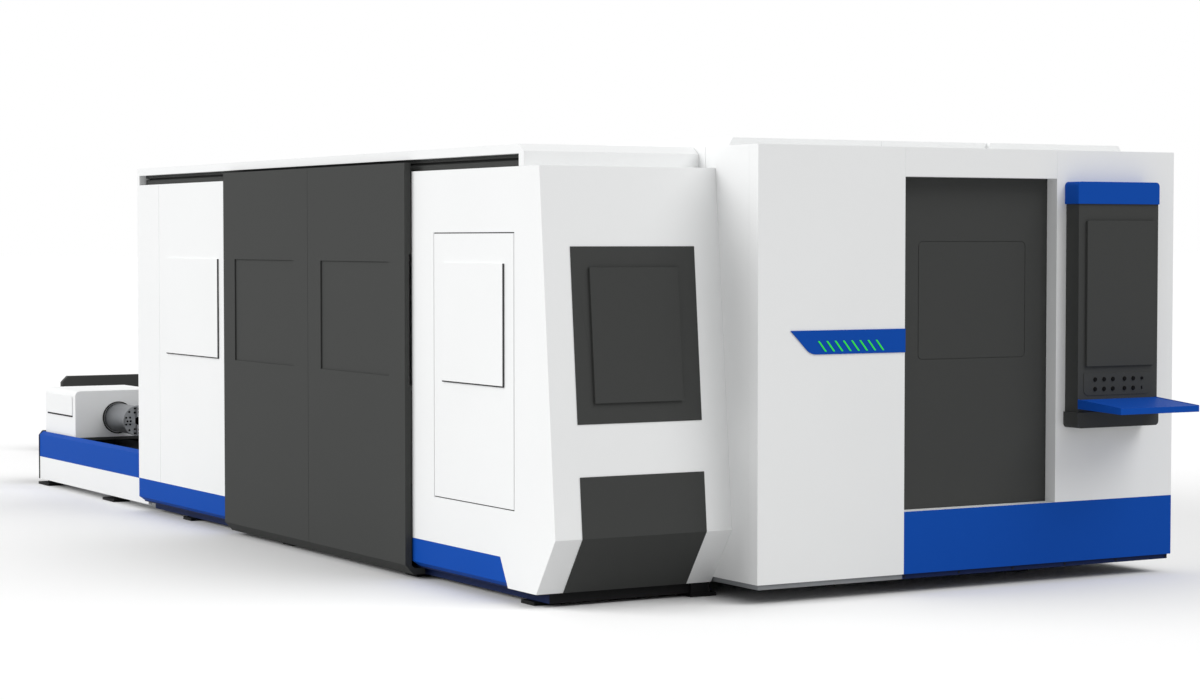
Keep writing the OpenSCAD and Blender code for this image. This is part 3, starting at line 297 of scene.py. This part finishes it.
def powder_coat(name, colour, grain_mm, depth_mm, roughness, specular):
    """Baked paint powder: matt, with a fine even grain and a faint drift of tone across a panel."""
    drift_mm = 700
    drift_share = 0.015
    gloss_swing = 0.05
    bump_strength = 0.35
    tree, shader, place = new_finish(name, Specular_IOR_Level=specular)
    # The real grain is under a millimetre; it is drawn coarser so that it shows from a step away
    grain = add(tree, "ShaderNodeTexNoise", None,
                {"Vector": place, "Scale": per_metre(grain_mm), "Detail": 2.0}).outputs[0]
    drift = add(tree, "ShaderNodeTexNoise", None,
                {"Vector": place, "Scale": per_metre(drift_mm), "Detail": 1.0}).outputs[0]
    vary(tree, shader, (drift, rgba(colour, 1 - drift_share), rgba(colour, 1 + drift_share)),
         (grain, roughness - gloss_swing, roughness + gloss_swing), (grain, depth_mm, bump_strength))


def machined_metal(name, colour, lines_mm, roughness):
    """Cut metal: fine tool lines along one direction and a soft shine across them."""
    dark_share = 0.85
    pale_share = 1.1
    gloss_swing = 0.08
    depth_mm = 0.05
    bump_strength = 0.25
    tree, shader, place = new_finish(name, Metallic=1.0)
    # Real tool lines are a tenth of a millimetre apart; they are drawn coarser so that they show
    stretch = [per_metre(size) for size in lines_mm]
    lay = add(tree, "ShaderNodeMapping", None, {"Vector": place, "Scale": stretch}).outputs[0]
    lines = add(tree, "ShaderNodeTexNoise", None, {"Vector": lay, "Scale": 1.0, "Detail": 4.0}).outputs[0]
    vary(tree, shader, (lines, rgba(colour, dark_share), rgba(colour, pale_share)),
         (lines, roughness - gloss_swing, roughness + gloss_swing), (lines, depth_mm, bump_strength))


def cut_slat_steel(name, colour, tint):
    """Laser-cut sheet steel: dull grey metal, blotched brown where hot spatter has tinted it."""
    blotch_mm = 45
    tint_start = 0.45
    tint_full = 0.65
    least_rough = 0.45
    most_rough = 0.7
    # Spatter beads are about a millimetre across; they are drawn larger so that they show
    bead_mm = 6
    bead_depth_mm = 0.3
    bump_strength = 0.4
    tree, shader, place = new_finish(name, Metallic=1.0)
    blotch = add(tree, "ShaderNodeTexNoise", None,
                 {"Vector": place, "Scale": per_metre(blotch_mm), "Detail": 4.0}).outputs[0]
    heat = add(tree, "ShaderNodeMapRange", None,
               {"Value": blotch, "From Min": tint_start, "From Max": tint_full}).outputs[0]
    beads = add(tree, "ShaderNodeTexVoronoi", None,
                {"Vector": place, "Scale": per_metre(bead_mm)}).outputs[0]
    vary(tree, shader, (heat, rgba(colour), rgba(tint)), (blotch, least_rough, most_rough),
         (beads, bead_depth_mm, bump_strength))


def cast_aluminium(name, colour):
    """Sand-cast and blasted aluminium: pale, dull metal with a pebbled skin."""
    pebble_mm = 4
    dark_share = 0.9
    pale_share = 1.05
    least_rough = 0.45
    most_rough = 0.6
    depth_mm = 0.3
    bump_strength = 0.4
    tree, shader, place = new_finish(name, Metallic=1.0)
    pebbles = add(tree, "ShaderNodeTexNoise", None,
                  {"Vector": place, "Scale": per_metre(pebble_mm), "Detail": 3.0}).outputs[0]
    vary(tree, shader, (pebbles, rgba(colour, dark_share), rgba(colour, pale_share)),
         (pebbles, least_rough, most_rough), (pebbles, depth_mm, bump_strength))


def lit_lens(name, colour):
    """Clear moulded lens over a light strip: bright even green with a glossy face."""
    glow_mm = 25
    dark_share = 0.45
    pale_share = 0.6
    tree, shader, place = new_finish(name, Roughness=0.25, IOR=1.49, Emission_Color=rgba(colour),
                                     Emission_Strength=0.55)
    glow = add(tree, "ShaderNodeTexNoise", None,
               {"Vector": place, "Scale": per_metre(glow_mm), "Detail": 0.0}).outputs[0]
    tone = add(tree, "ShaderNodeMix", {"data_type": "RGBA"},
               {0: glow, 6: rgba(colour, dark_share), 7: rgba(colour, pale_share)}).outputs[2]
    tree.links.new(tone, shader.inputs["Base Color"])


def moulded_plastic(name, colour, specular):
    """Moulded plastic or rubber with a spark-eroded skin: dark, matt and finely pitted."""
    # Real pits are about a tenth of a millimetre across; they are drawn larger so that they show
    pit_mm = 0.8
    dark_share = 0.9
    pale_share = 1.2
    least_rough = 0.6
    most_rough = 0.75
    depth_mm = 0.05
    bump_strength = 0.3
    tree, shader, place = new_finish(name, IOR=1.5, Specular_IOR_Level=specular)
    pits = add(tree, "ShaderNodeTexVoronoi", None,
               {"Vector": place, "Scale": per_metre(pit_mm)}).outputs[0]
    vary(tree, shader, (pits, rgba(colour, dark_share), rgba(colour, pale_share)),
         (pits, least_rough, most_rough), (pits, depth_mm, bump_strength))


class MakeFinishes(bpy.types.Operator):
    """Makes the paints, metals and plastics of the machine."""
    bl_idname = "laser_machine.finishes"
    bl_label = "Finishes"

    def execute(self, context):
        c = looks().colours
        # Grain and its depth in millimetres, roughness and specular level of each coat
        coats = (
            ("white powder coat", c.white, 3.0, 0.06, 0.5, 0.35),
            ("dark textured powder coat", c.dark, 2.4, 0.2, 0.62, 0.05),
            ("blue powder coat", c.blue, 3.0, 0.06, 0.5, 0.03),
            # The navy coat is painted shade: the blue darkened for the beams and lip that sit under the
            # panels.
            ("blue beam paint in painted shade", c.blue_in_painted_shade, 5.0, 0.15, 0.55, 0.1),
            ("black foot paint", c.black, 4.0, 0.2, 0.6, 0.1),
            ("grey machine enamel", c.grey, 6.0, 0.15, 0.45, 0.4),
        )
        for name, colour, grain_mm, depth_mm, roughness, specular in coats:
            powder_coat(name, colour, grain_mm, depth_mm, roughness, specular)
        # Spacing of the lines along each axis in millimetres and roughness of each metal
        metals = (
            ("ground rail steel", c.steel, (1.6, 250, 1.6), 0.32),
            ("turned chuck steel", c.chuck, (25, 1.4, 25), 0.42),
            # The chuck face steel is partly a ground face and partly painted light on a face in shade.
            ("ground chuck face steel with painted light", c.chuck_face_with_painted_light, (6, 6, 6), 0.5),
            ("blackened screw steel", c.oxide, (3, 3, 3), 0.45),
            ("turned nozzle copper", c.copper, (10, 10, 0.5), 0.3),
        )
        for name, colour, lines_mm, roughness in metals:
            machined_metal(name, colour, lines_mm, roughness)
        plastics = (
            ("moulded control plastic", c.control, 0.1),
            # The seal material is the drum's seal ring and also painted shade in the dark strips and seam
            # frame.
            ("moulded seal rubber and painted shade", c.rubber, 0.2),
            # The grey edge finish is painted shade on the raised window plates' sides and lower edges.
            ("painted shade on plate edges", c.plate_edge_shade, 0.1),
        )
        for name, colour, specular in plastics:
            moulded_plastic(name, colour, specular)
        cut_slat_steel("laser-cut slat steel", c.steel, c.spatter)
        cast_aluminium("cast gantry aluminium", c.aluminium)
        lit_lens("lit green lens", c.green)
        return {"FINISHED"}


# Mesh helpers

# Points nearer than this are one point
WELD = 0.01 * MM
# Faces that meet at less than this angle are one flat face
FLAT = math.radians(0.6)
# Edges sharper than this are rounded, and shown as a crease where they stay
SHARP = math.radians(32)
# A face looks along an axis where its normal leans at least this far that way
FACING = 0.5
EDGE_STEPS = 2
SCREW_STEPS = 24
SEAL_STEPS = 64
# Screw heads: rim and socket as shares of the radius, the socket's floor as shares of socket and height
SCREW_RIM = 0.15
SCREW_SOCKET = 0.5
SOCKET_TAPER = 0.9
SOCKET_FLOOR = 0.45


def as_piece(mesh, name, finishes, body):
    """Turns a bmesh into an object with smooth rounded edges that moves with a body."""
    for face in mesh.faces:
        face.smooth = True
    for edge in mesh.edges:
        edge.smooth = len(edge.link_faces) == 2 and edge.calc_face_angle() < SHARP
    data = bpy.data.meshes.new(name)
    mesh.to_mesh(data)
    mesh.free()
    for finish in finishes:
        data.materials.append(bpy.data.materials[finish])
    piece = bpy.data.objects.new(name, data)
    bpy.context.scene.collection.objects.link(piece)
    flat = piece.modifiers.new("flat faces", "WEIGHTED_NORMAL")
    flat.keep_sharp = True
    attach(piece, body)
    return piece


def round_edges(mesh, edges, radius):
    """Rounds edges; a rounding takes the finish of a face beside it."""
    bmesh.ops.bevel(mesh, geom=edges, offset=radius, offset_type="OFFSET", segments=EDGE_STEPS, profile=0.5,
                    affect="EDGES", clamp_overlap=True, material=-1)


def eased(node, finishes, radius, finish_of=None, crisp_x=None):
    """Stands in for a node with the same form and rounded outer edges.

    finish_of takes a face and gives the number of its finish; edges in the plane crisp_x butt against
    another sheet and stay crisp.
    """
    finishes = [finishes] if isinstance(finishes, str) else finishes
    source = frame["nodes"][node]
    mesh = bmesh.new()
    mesh.from_mesh(source.data)
    bmesh.ops.remove_doubles(mesh, verts=mesh.verts, dist=WELD)
    bmesh.ops.dissolve_limit(mesh, angle_limit=FLAT, verts=mesh.verts, edges=mesh.edges,
                             use_dissolve_boundaries=False)
    for face in mesh.faces:
        face.material_index = finish_of(face) if finish_of else 0
    outer = [e for e in mesh.edges
             if len(e.link_faces) == 2 and e.is_convex and e.calc_face_angle() > SHARP]
    if crisp_x is not None:
        outer = [e for e in outer if any(abs(v.co.x - crisp_x) > MM for v in e.verts)]
    round_edges(mesh, outer, radius)
    bmesh.ops.dissolve_degenerate(mesh, edges=mesh.edges, dist=WELD)
    piece = as_piece(mesh, node + "_dressed", finishes, source["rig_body"])
    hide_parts(node)


def paint(node, finish):
    """Gives a node that keeps its own mesh its finish."""
    data = frame["nodes"][node].data
    data.materials.clear()
    data.materials.append(bpy.data.materials[finish])


def lathe(mesh, profile, place, steps, ring=False):
    """Turns a profile of (radius, height) pairs about local Z; a ring's profile is a closed loop."""
    rings = []
    for radius, height in profile:
        loop = []
        for i in range(steps):
            angle = 2 * math.pi * i / steps
            loop.append(mesh.verts.new(place @ Vector(
                (radius * math.cos(angle), radius * math.sin(angle), height))))
        rings.append(loop)
    for low, high in zip(rings, rings[1:] + rings[:1] if ring else rings[1:]):
        for i in range(steps):
            j = (i + 1) % steps
            mesh.faces.new((low[i], low[j], high[j], high[i]))
    if not ring:
        mesh.faces.new(list(reversed(rings[0])))
        mesh.faces.new(rings[-1])


def screw_head(mesh, place, radius, height):
    """Round socket head with an eased rim and a recessed middle."""
    rim = radius * SCREW_RIM
    socket = radius * SCREW_SOCKET
    lathe(mesh, [(radius, 0), (radius, height - rim), (radius - rim, height), (socket, height),
                 (socket * SOCKET_TAPER, height * SOCKET_FLOOR)], place, SCREW_STEPS)


def strip(mesh, low, high, radius):
    """Flat strip between two corners with rounded edges."""
    size = [b - a for a, b in zip(low, high)]
    middle = [(a + b) / 2 for a, b in zip(low, high)]
    made = bmesh.ops.create_cube(mesh, size=1.0,
                                 matrix=Matrix.Translation(middle) @ Matrix.Diagonal((*size, 1.0)))
    edges = list(dict.fromkeys(e for v in made["verts"] for e in v.link_edges))
    round_edges(mesh, edges, radius)


FACING_FRONT = Matrix.Rotation(math.radians(90), 4, "X")
FACING_BACK = Matrix.Rotation(math.radians(-90), 4, "X")
FACING_RIGHT = Matrix.Rotation(math.radians(90), 4, "Y")


# Pieces

class DressCabin(bpy.types.Operator):
    """Dresses the cabin's walls, roof, base rail, feet, cabinet and joint strips."""
    bl_idname = "laser_machine.cabin"
    bl_label = "Cabin"

    def execute(self, context):
        s = looks().sizes
        for node in ("cabin_left_wall", "cabin_right_wall", "cabin_rear_wall", "cabin_roof", "roof_covers"):
            eased(node, "white powder coat", s.sheet_edge)
        eased("cabin_base_rail", "grey machine enamel", s.sheet_edge)
        eased("levelling_feet", "black foot paint", s.sheet_edge)
        eased("power_cabinet", "grey machine enamel", s.sheet_edge)
        self.joint_strips(s)
        return {"FINISHED"}

    def joint_strips(self, s):
        """Screwed strips over the joints between the sheets of the right wall and the rear wall."""
        counts = looks().counts
        strips = bmesh.new()
        screws = bmesh.new()
        half = s.strip_width / 2
        out = s.strip_thickness
        low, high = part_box("cabin_right_wall")
        z0, z1 = low.z + s.strip_margin, high.z - s.strip_margin
        front_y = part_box("front_right_panel")[0].y
        rear_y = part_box("cabin_rear_wall")[1].y
        for i in range(counts.side_joints):
            y = front_y + (rear_y - front_y) * (i + 1) / (counts.side_joints + 1)
            strip(strips, (high.x - out, y - half, z0), (high.x + out, y + half, z1), s.control_edge)
            self.screw_row(screws, (high.x + out, y), z0, z1, FACING_RIGHT, s)
        low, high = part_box("cabin_rear_wall")
        z0 = low.z + s.rear_strip_low
        for i in range(counts.rear_joints):
            x = low.x + (high.x - low.x) * (i + 1) / (counts.rear_joints + 1)
            strip(strips, (x - half, high.y - out, z0), (x + half, high.y + out, z1), s.control_edge)
            self.screw_row(screws, (x, high.y + out), z0, z1, FACING_BACK, s)
        as_piece(strips, "wall_joint_strips", ["white powder coat"], "machine")
        as_piece(screws, "wall_joint_screws", ["ground rail steel"], "machine")

    def screw_row(self, mesh, place, z0, z1, facing, s):
        """Evenly spaced screws up one strip."""
        count = looks().counts.strip_screws
        for i in range(count):
            z = z0 + (z1 - z0) * (i + 0.5) / count
            screw_head(mesh, Matrix.Translation((*place, z)) @ facing, s.strip_screw, s.bolt_height)


class DressFront(bpy.types.Operator):
    """Dresses the front panels, plinth, accent and sliding front door."""
    bl_idname = "laser_machine.front"
    bl_label = "Front"

    def execute(self, context):
        s = looks().sizes
        for node in ("front_left_panel", "front_right_panel", "door_header"):
            eased(node, "white powder coat", s.plate_edge)
        low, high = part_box("front_plinth")
        lip_top = low.z + s.lip_height
        # The lip takes the blue darkened as painted shade; the top faces take white as a painted highlight
        # along the plinth's upper edge.
        eased("front_plinth", ["blue powder coat", "blue beam paint in painted shade", "white powder coat"], s.sheet_edge,
              lambda face: self.plinth_finish(face.calc_center_median().z, lip_top, high.z - MM))
        self.lip_bolts(low, high, s)
        eased("accent_strip", "blue powder coat", s.sheet_edge)
        eased("accent_lights", "lit green lens", s.control_edge)
        eased("front_door", "dark textured powder coat", s.sheet_edge)
        eased("door_tracks", "dark textured powder coat", s.sheet_edge)
        return {"FINISHED"}

    def plinth_finish(self, height, lip_top, painted_highlight_top):
        """Number of the finish at a height of the plinth: the lip in blue darkened as painted shade, the
        blue face, and the top faces in white as a painted highlight.
        """
        if height < lip_top:
            return 1
        return 2 if height > painted_highlight_top else 0

    def lip_bolts(self, low, high, s):
        """Bolt heads in an even row along the plinth's lip."""
        count = looks().counts.lip_bolts
        first = low.x + s.bolt_inset
        last = high.x - s.lip_set_back - s.bolt_inset
        mesh = bmesh.new()
        for i in range(count):
            x = first + (last - first) * i / (count - 1)
            place = Vector((x, low.y + s.lip_set_back, low.z + s.lip_height / 2))
            screw_head(mesh, Matrix.Translation(place) @ FACING_FRONT, s.bolt_radius, s.bolt_height)
        as_piece(mesh, "plinth_lip_bolts", ["blackened screw steel"], "machine")


class DressConsole(bpy.types.Operator):
    """Dresses the console with its cap, plates, controls and shelf."""
    bl_idname = "laser_machine.console"
    bl_label = "Console"

    def execute(self, context):
        s = looks().sizes
        for node in ("console_housing", "screen_plate", "button_plate"):
            eased(node, "dark textured powder coat", s.sheet_edge)
        for node in ("console_cap", "keyboard_shelf"):
            eased(node, "blue powder coat", s.sheet_edge)
        for node in sorted(n for n in frame["nodes"] if n.startswith("push_button")):
            eased(node, "moulded control plastic", s.control_edge)
        eased("key_switch", "blackened screw steel", s.control_edge)
        return {"FINISHED"}


class DressTubeSection(bpy.types.Operator):
    """Dresses the tube section's shell, its base and the sliding leaves."""
    bl_idname = "laser_machine.tube_section"
    bl_label = "Tube section"

    def execute(self, context):
        s = looks().sizes
        butt_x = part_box("nose_end_panel")[0].x
        for node in ("nose_side_panel", "nose_end_panel"):
            eased(node, "white powder coat", s.sheet_edge, crisp_x=butt_x)
        wall_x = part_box("nose_side_panel")[0].x
        # The sides and lower edges of the raised window plates take a dark grey as painted shade.
        for node in ("service_panel", "far_side_panel"):
            eased(node, ["white powder coat", "painted shade on plate edges"], s.control_edge,
                  lambda face: 1 if self.plate_edge(face, wall_x) else 0)
        # A dark strip under each raised window plate is a painted shadow.
        self.plate_shadows(s, wall_x)
        # A dark frame in the service panel's seam is painted shade.
        self.service_seam_shade(s)
        for node in ("tube_roof", "tube_end_wall"):
            eased(node, "white powder coat", s.sheet_edge)
        for node in ("nose_hatch", "nose_lower_panel", "side_door_left", "side_door_right"):
            eased(node, "dark textured powder coat", s.sheet_edge)
        eased("side_plinths", "blue powder coat", s.sheet_edge)
        low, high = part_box("tube_base")
        middle_x = (low.x + high.x) / 2
        # Left-facing faces of the base's left half take the navy, the blue darkened as painted shade; the
        # other faces are black.
        eased("tube_base", ["blue beam paint in painted shade", "black foot paint"], s.plate_edge,
              lambda face: 0 if face.normal.x < -FACING and face.calc_center_median().x < middle_x else 1)
        eased("front_chuck_housing", "grey machine enamel", s.plate_edge)
        eased("front_chuck", "turned chuck steel", s.sheet_edge)
        return {"FINISHED"}

    def plate_edge(self, face, wall_x):
        """Whether a face is on the sides or lower edge of a raised window plate, which are darkened as
        painted shade.
        """
        outside = face.calc_center_median().x < wall_x - MM
        return outside and abs(face.normal.x) < FACING and face.normal.z < FACING

    def plate_shadows(self, s, wall_x):
        """Dark strip under the lower edge of each raised window plate, a painted shadow."""
        mesh = bmesh.new()
        for node in ("service_panel", "far_side_panel"):
            plate = [v.co for v in frame["nodes"][node].data.vertices if v.co.x < wall_x - MM]
            along = [p.y for p in plate]
            under = min(p.z for p in plate)
            strip(mesh, (wall_x - s.plate_shadow_out, min(along), under - s.plate_shadow_height),
                  (wall_x, max(along), under), s.control_edge)
        as_piece(mesh, "window_plate_painted_shadow", ["moulded seal rubber and painted shade"], "machine")

    def service_seam_shade(self, s):
        """Dark frame at the bottom of the seam around the service panel, as painted shade in the seam."""
        low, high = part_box("service_panel")
        bottom = high.x
        front = bottom - s.seam_shade_depth
        gap = s.seam_width
        mesh = bmesh.new()
        for z0, z1 in ((low.z - gap, low.z), (high.z, high.z + gap)):
            strip(mesh, (front, low.y - gap, z0), (bottom, high.y + gap, z1), s.control_edge)
        for y0, y1 in ((low.y - gap, low.y), (high.y, high.y + gap)):
            strip(mesh, (front, y0, low.z), (bottom, y1, high.z), s.control_edge)
        as_piece(mesh, "service_panel_seam_shade", ["moulded seal rubber and painted shade"], "machine")


class DressTubeFeed(bpy.types.Operator):
    """Dresses the tube bed, the headstock and the rear chuck."""
    bl_idname = "laser_machine.tube_feed"
    bl_label = "Tube feed"

    def execute(self, context):
        s = looks().sizes
        plate_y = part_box("tube_bed")[1].y - s.end_plate
        eased("tube_bed", ["grey machine enamel", "dark textured powder coat"], s.plate_edge,
              lambda face: 1 if face.calc_center_median().y > plate_y else 0)
        eased("tube_bed_lower_covers", "white powder coat", s.sheet_edge)
        eased("tube_bed_upper_covers", "blue powder coat", s.sheet_edge)
        eased("headstock_housing", "white powder coat", s.plate_edge)
        eased("headstock_carriage", "dark textured powder coat", s.plate_edge)
        # The chuck's front faces take the lighter face steel: partly a ground face, partly painted light
        # where the face lies in shade.
        eased("rear_chuck", ["turned chuck steel", "ground chuck face steel with painted light"], s.sheet_edge,
              lambda face: 1 if face.normal.y < -FACING else 0)
        self.chuck_screws(s)
        self.headstock_seal_and_shadow_strips(s)
        return {"FINISHED"}

    def headstock_seal_and_shadow_strips(self, s):
        """Rubber ring around the drum's root, and a dark strip under each side cover as painted shade."""
        drum_low, drum_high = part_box("rear_chuck")
        low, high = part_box("headstock_housing")
        radius = (drum_high.x - drum_low.x) / 2 + s.control_edge
        axis = Vector(((drum_low.x + drum_high.x) / 2, low.y, (drum_low.z + drum_high.z) / 2))
        outer = radius + s.seal_width
        lip = s.seal_width / 3
        mesh = bmesh.new()
        profile = [(radius, 0), (outer, 0), (outer, s.seal_depth - lip), (outer - lip, s.seal_depth),
                   (radius, s.seal_depth)]
        lathe(mesh, profile, Matrix.Translation(axis) @ FACING_FRONT, SEAL_STEPS, ring=True)
        # A dark strip under each side cover is painted shade.
        top = low.z + s.shadow_strip_top
        for side in (low.x + s.cover_out, high.x - s.cover_out):
            strip(mesh, (side - s.shadow_strip_out, low.y + s.shadow_strip_ends, top - s.shadow_strip_height),
                  (side + s.shadow_strip_out, high.y - s.shadow_strip_ends, top), s.control_edge)
        as_piece(mesh, "headstock_seal_and_shadow_strips", ["moulded seal rubber and painted shade"], "headstock")

    def chuck_screws(self, s):
        """Screws in the two rings on the chuck's face and in the jaws."""
        counts = looks().counts
        low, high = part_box("rear_chuck")
        axis = Vector(((low.x + high.x) / 2, 0, (low.z + high.z) / 2))
        face_y = low.y + s.jaw_height
        # Count, radius, plane and first angle in steps of each ring of screws
        rings = (
            (counts.jaws, s.jaw_ring, low.y, 0.0),
            (counts.jaws, s.jaw_ring - s.jaw_step, low.y, 0.0),
            (counts.outer_screws, s.outer_ring, face_y, 0.5),
            (counts.inner_screws, s.inner_ring, face_y, 0.5),
        )
        mesh = bmesh.new()
        for count, radius, y, first in rings:
            for i in range(count):
                angle = 2 * math.pi * (i + first) / count
                place = axis + Vector((radius * math.cos(angle), y, radius * math.sin(angle)))
                screw_head(mesh, Matrix.Translation(place) @ FACING_FRONT, s.face_screw, s.bolt_height)
        as_piece(mesh, "rear_chuck_screws", ["blackened screw steel"], "rear_chuck")


class DressSheetTable(bpy.types.Operator):
    """Dresses the sheet bed, the rails, the pallet and the shuttle table."""
    bl_idname = "laser_machine.sheet_table"
    bl_label = "Sheet table"

    def execute(self, context):
        s = looks().sizes
        eased("sheet_bed", "grey machine enamel", s.plate_edge)
        eased("pallet", "grey machine enamel", s.plate_edge)
        eased("shuttle_frame", "dark textured powder coat", s.plate_edge)
        eased("guide_rails", "ground rail steel", s.sheet_edge)
        paint("pallet_slats", "laser-cut slat steel")
        return {"FINISHED"}


class DressGantry(bpy.types.Operator):
    """Dresses the gantry beam, the carriage and the cutting head."""
    bl_idname = "laser_machine.gantry"
    bl_label = "Gantry"

    def execute(self, context):
        s = looks().sizes
        eased("gantry_beam", "cast gantry aluminium", s.plate_edge)
        eased("head_carriage", "dark textured powder coat", s.plate_edge)
        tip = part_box("laser_head")[0].z + s.nozzle_height
        eased("laser_head", ["ground rail steel", "turned nozzle copper"], s.sheet_edge,
              lambda face: 1 if face.calc_center_median().z < tip else 0)
        return {"FINISHED"}


class SetStage(bpy.types.Operator):
    """Sets up the pale floor, the soft light and the camera."""
    bl_idname = "laser_machine.stage"
    bl_label = "Stage"

    def execute(self, context):
        studio = looks().studio
        self.floor(studio)
        self.sky(context.scene, studio)
        self.lamp(context.scene, "side_lamp", studio.side_level, studio.side_height, studio.side_turn,
                  studio.lamp_width)
        self.lamp(context.scene, "front_lamp", studio.front_level, studio.front_height, studio.front_turn,
                  studio.lamp_width)
        self.camera(context.scene, studio)
        context.scene.view_settings.view_transform = "Standard"
        return {"FINISHED"}

    def floor(self, studio):
        """Large matt floor, white to the horizon, which takes the machine's shadow."""
        mesh = bmesh.new()
        bmesh.ops.create_grid(mesh, x_segments=1, y_segments=1, size=studio.floor_size / 2)
        data = bpy.data.meshes.new("studio_floor")
        mesh.to_mesh(data)
        mesh.free()
        floor = bpy.data.objects.new("studio_floor", data)
        bpy.context.scene.collection.objects.link(floor)
        material = bpy.data.materials.new("white studio floor")
        material.use_nodes = True
        tree = material.node_tree
        tree.nodes.clear()
        white = studio.floor_white
        grey = studio.floor_bounce
        eye = add(tree, "ShaderNodeLightPath").outputs["Is Camera Ray"]
        shown = add(tree, "ShaderNodeBsdfDiffuse", None, {"Color": (white, white, white, 1.0)}).outputs[0]
        thrown = add(tree, "ShaderNodeBsdfDiffuse", None, {"Color": (grey, grey, grey, 1.0)}).outputs[0]
        both = add(tree, "ShaderNodeMixShader", None, {0: eye, 1: thrown, 2: shown})
        add(tree, "ShaderNodeOutputMaterial", None, {"Surface": both.outputs[0]})
        data.materials.append(material)

    def sky(self, scene, studio):
        """Even white surroundings: white to the eye and in reflections, softer as light."""
        world = bpy.data.worlds.new("white studio")
        world.use_nodes = True
        scene.world = world
        tree = world.node_tree
        tree.nodes.clear()
        rays = add(tree, "ShaderNodeLightPath")
        seen = add(tree, "ShaderNodeMath", {"operation": "MAXIMUM"},
                   {0: rays.outputs["Is Camera Ray"], 1: rays.outputs["Is Glossy Ray"]}).outputs[0]
        seen = add(tree, "ShaderNodeMath", {"operation": "MAXIMUM"},
                   {0: seen, 1: rays.outputs["Is Transmission Ray"]}).outputs[0]
        white = (1.0, 1.0, 1.0, 1.0)
        light = add(tree, "ShaderNodeBackground", None, {"Color": white, "Strength": studio.sky_level})
        view = add(tree, "ShaderNodeBackground", None, {"Color": white, "Strength": 1.0})
        both = add(tree, "ShaderNodeMixShader", None, {0: seen, 1: light.outputs[0], 2: view.outputs[0]})
        add(tree, "ShaderNodeOutputWorld", None, {"Surface": both.outputs[0]})

    def lamp(self, scene, name, level, height, turn, width):
        """A broad soft lamp; its turn is counted from the right side through the front to the left."""
        data = bpy.data.lights.new(name, "SUN")
        data.energy = level
        data.angle = width
        lamp = bpy.data.objects.new(name, data)
        flat = math.cos(height)
        travel = Vector((-flat * math.cos(turn), flat * math.sin(turn), -math.sin(height)))
        lamp.rotation_euler = travel.to_track_quat("-Z", "Y").to_euler()
        scene.collection.objects.link(lamp)

    def camera(self, scene, studio):
        """Camera at the photograph's viewing angle."""
        data = bpy.data.cameras.new("camera")
        data.lens = studio.focal_length
        data.sensor_width = SENSOR_MM
        data.sensor_fit = "HORIZONTAL"
        data.clip_end = VIEW_DEPTH
        camera = bpy.data.objects.new("camera", data)
        camera.location = studio.camera_place
        camera.rotation_euler = (math.pi / 2 - studio.camera_pitch, 0.0, -studio.camera_yaw)
        scene.collection.objects.link(camera)
        scene.camera = camera


STEPS = (MakeFinishes, DressCabin, DressFront, DressConsole, DressTubeSection, DressTubeFeed,
         DressSheetTable, DressGantry, SetStage)


class LaserMachinePanel(bpy.types.Panel):
    """Lists the machine's settings and the steps that dress it."""
    bl_idname = "VIEW3D_PT_laser_machine"
    bl_label = "Laser machine"
    bl_space_type = "VIEW_3D"
    bl_region_type = "UI"
    bl_category = "Laser machine"

    def draw(self, context):
        settings = looks()
        for group in (settings.colours, settings.sizes, settings.counts, settings.studio):
            column = self.layout.column()
            for name in group.__annotations__:
                column.prop(group, name)
        for step in STEPS:
            self.layout.operator(step.bl_idname)


CLASSES = (MachineColours, MachineSizes, MachineCounts, StudioSettings, MachineLooks, *STEPS,
           LaserMachinePanel)


def register():
    for cls in CLASSES:
        bpy.utils.register_class(cls)
    bpy.types.Scene.laser_machine = PointerProperty(type=MachineLooks)


def unregister():
    del bpy.types.Scene.laser_machine
    for cls in reversed(CLASSES):
        bpy.utils.unregister_class(cls)


def main():
    """Dresses the whole machine."""
    register()
    bpy.ops.laser_machine.finishes()
    bpy.ops.laser_machine.cabin()
    bpy.ops.laser_machine.front()
    bpy.ops.laser_machine.console()
    bpy.ops.laser_machine.tube_section()
    bpy.ops.laser_machine.tube_feed()
    bpy.ops.laser_machine.sheet_table()
    bpy.ops.laser_machine.gantry()
    bpy.ops.laser_machine.stage()


if __name__ == "__main__":
    main()
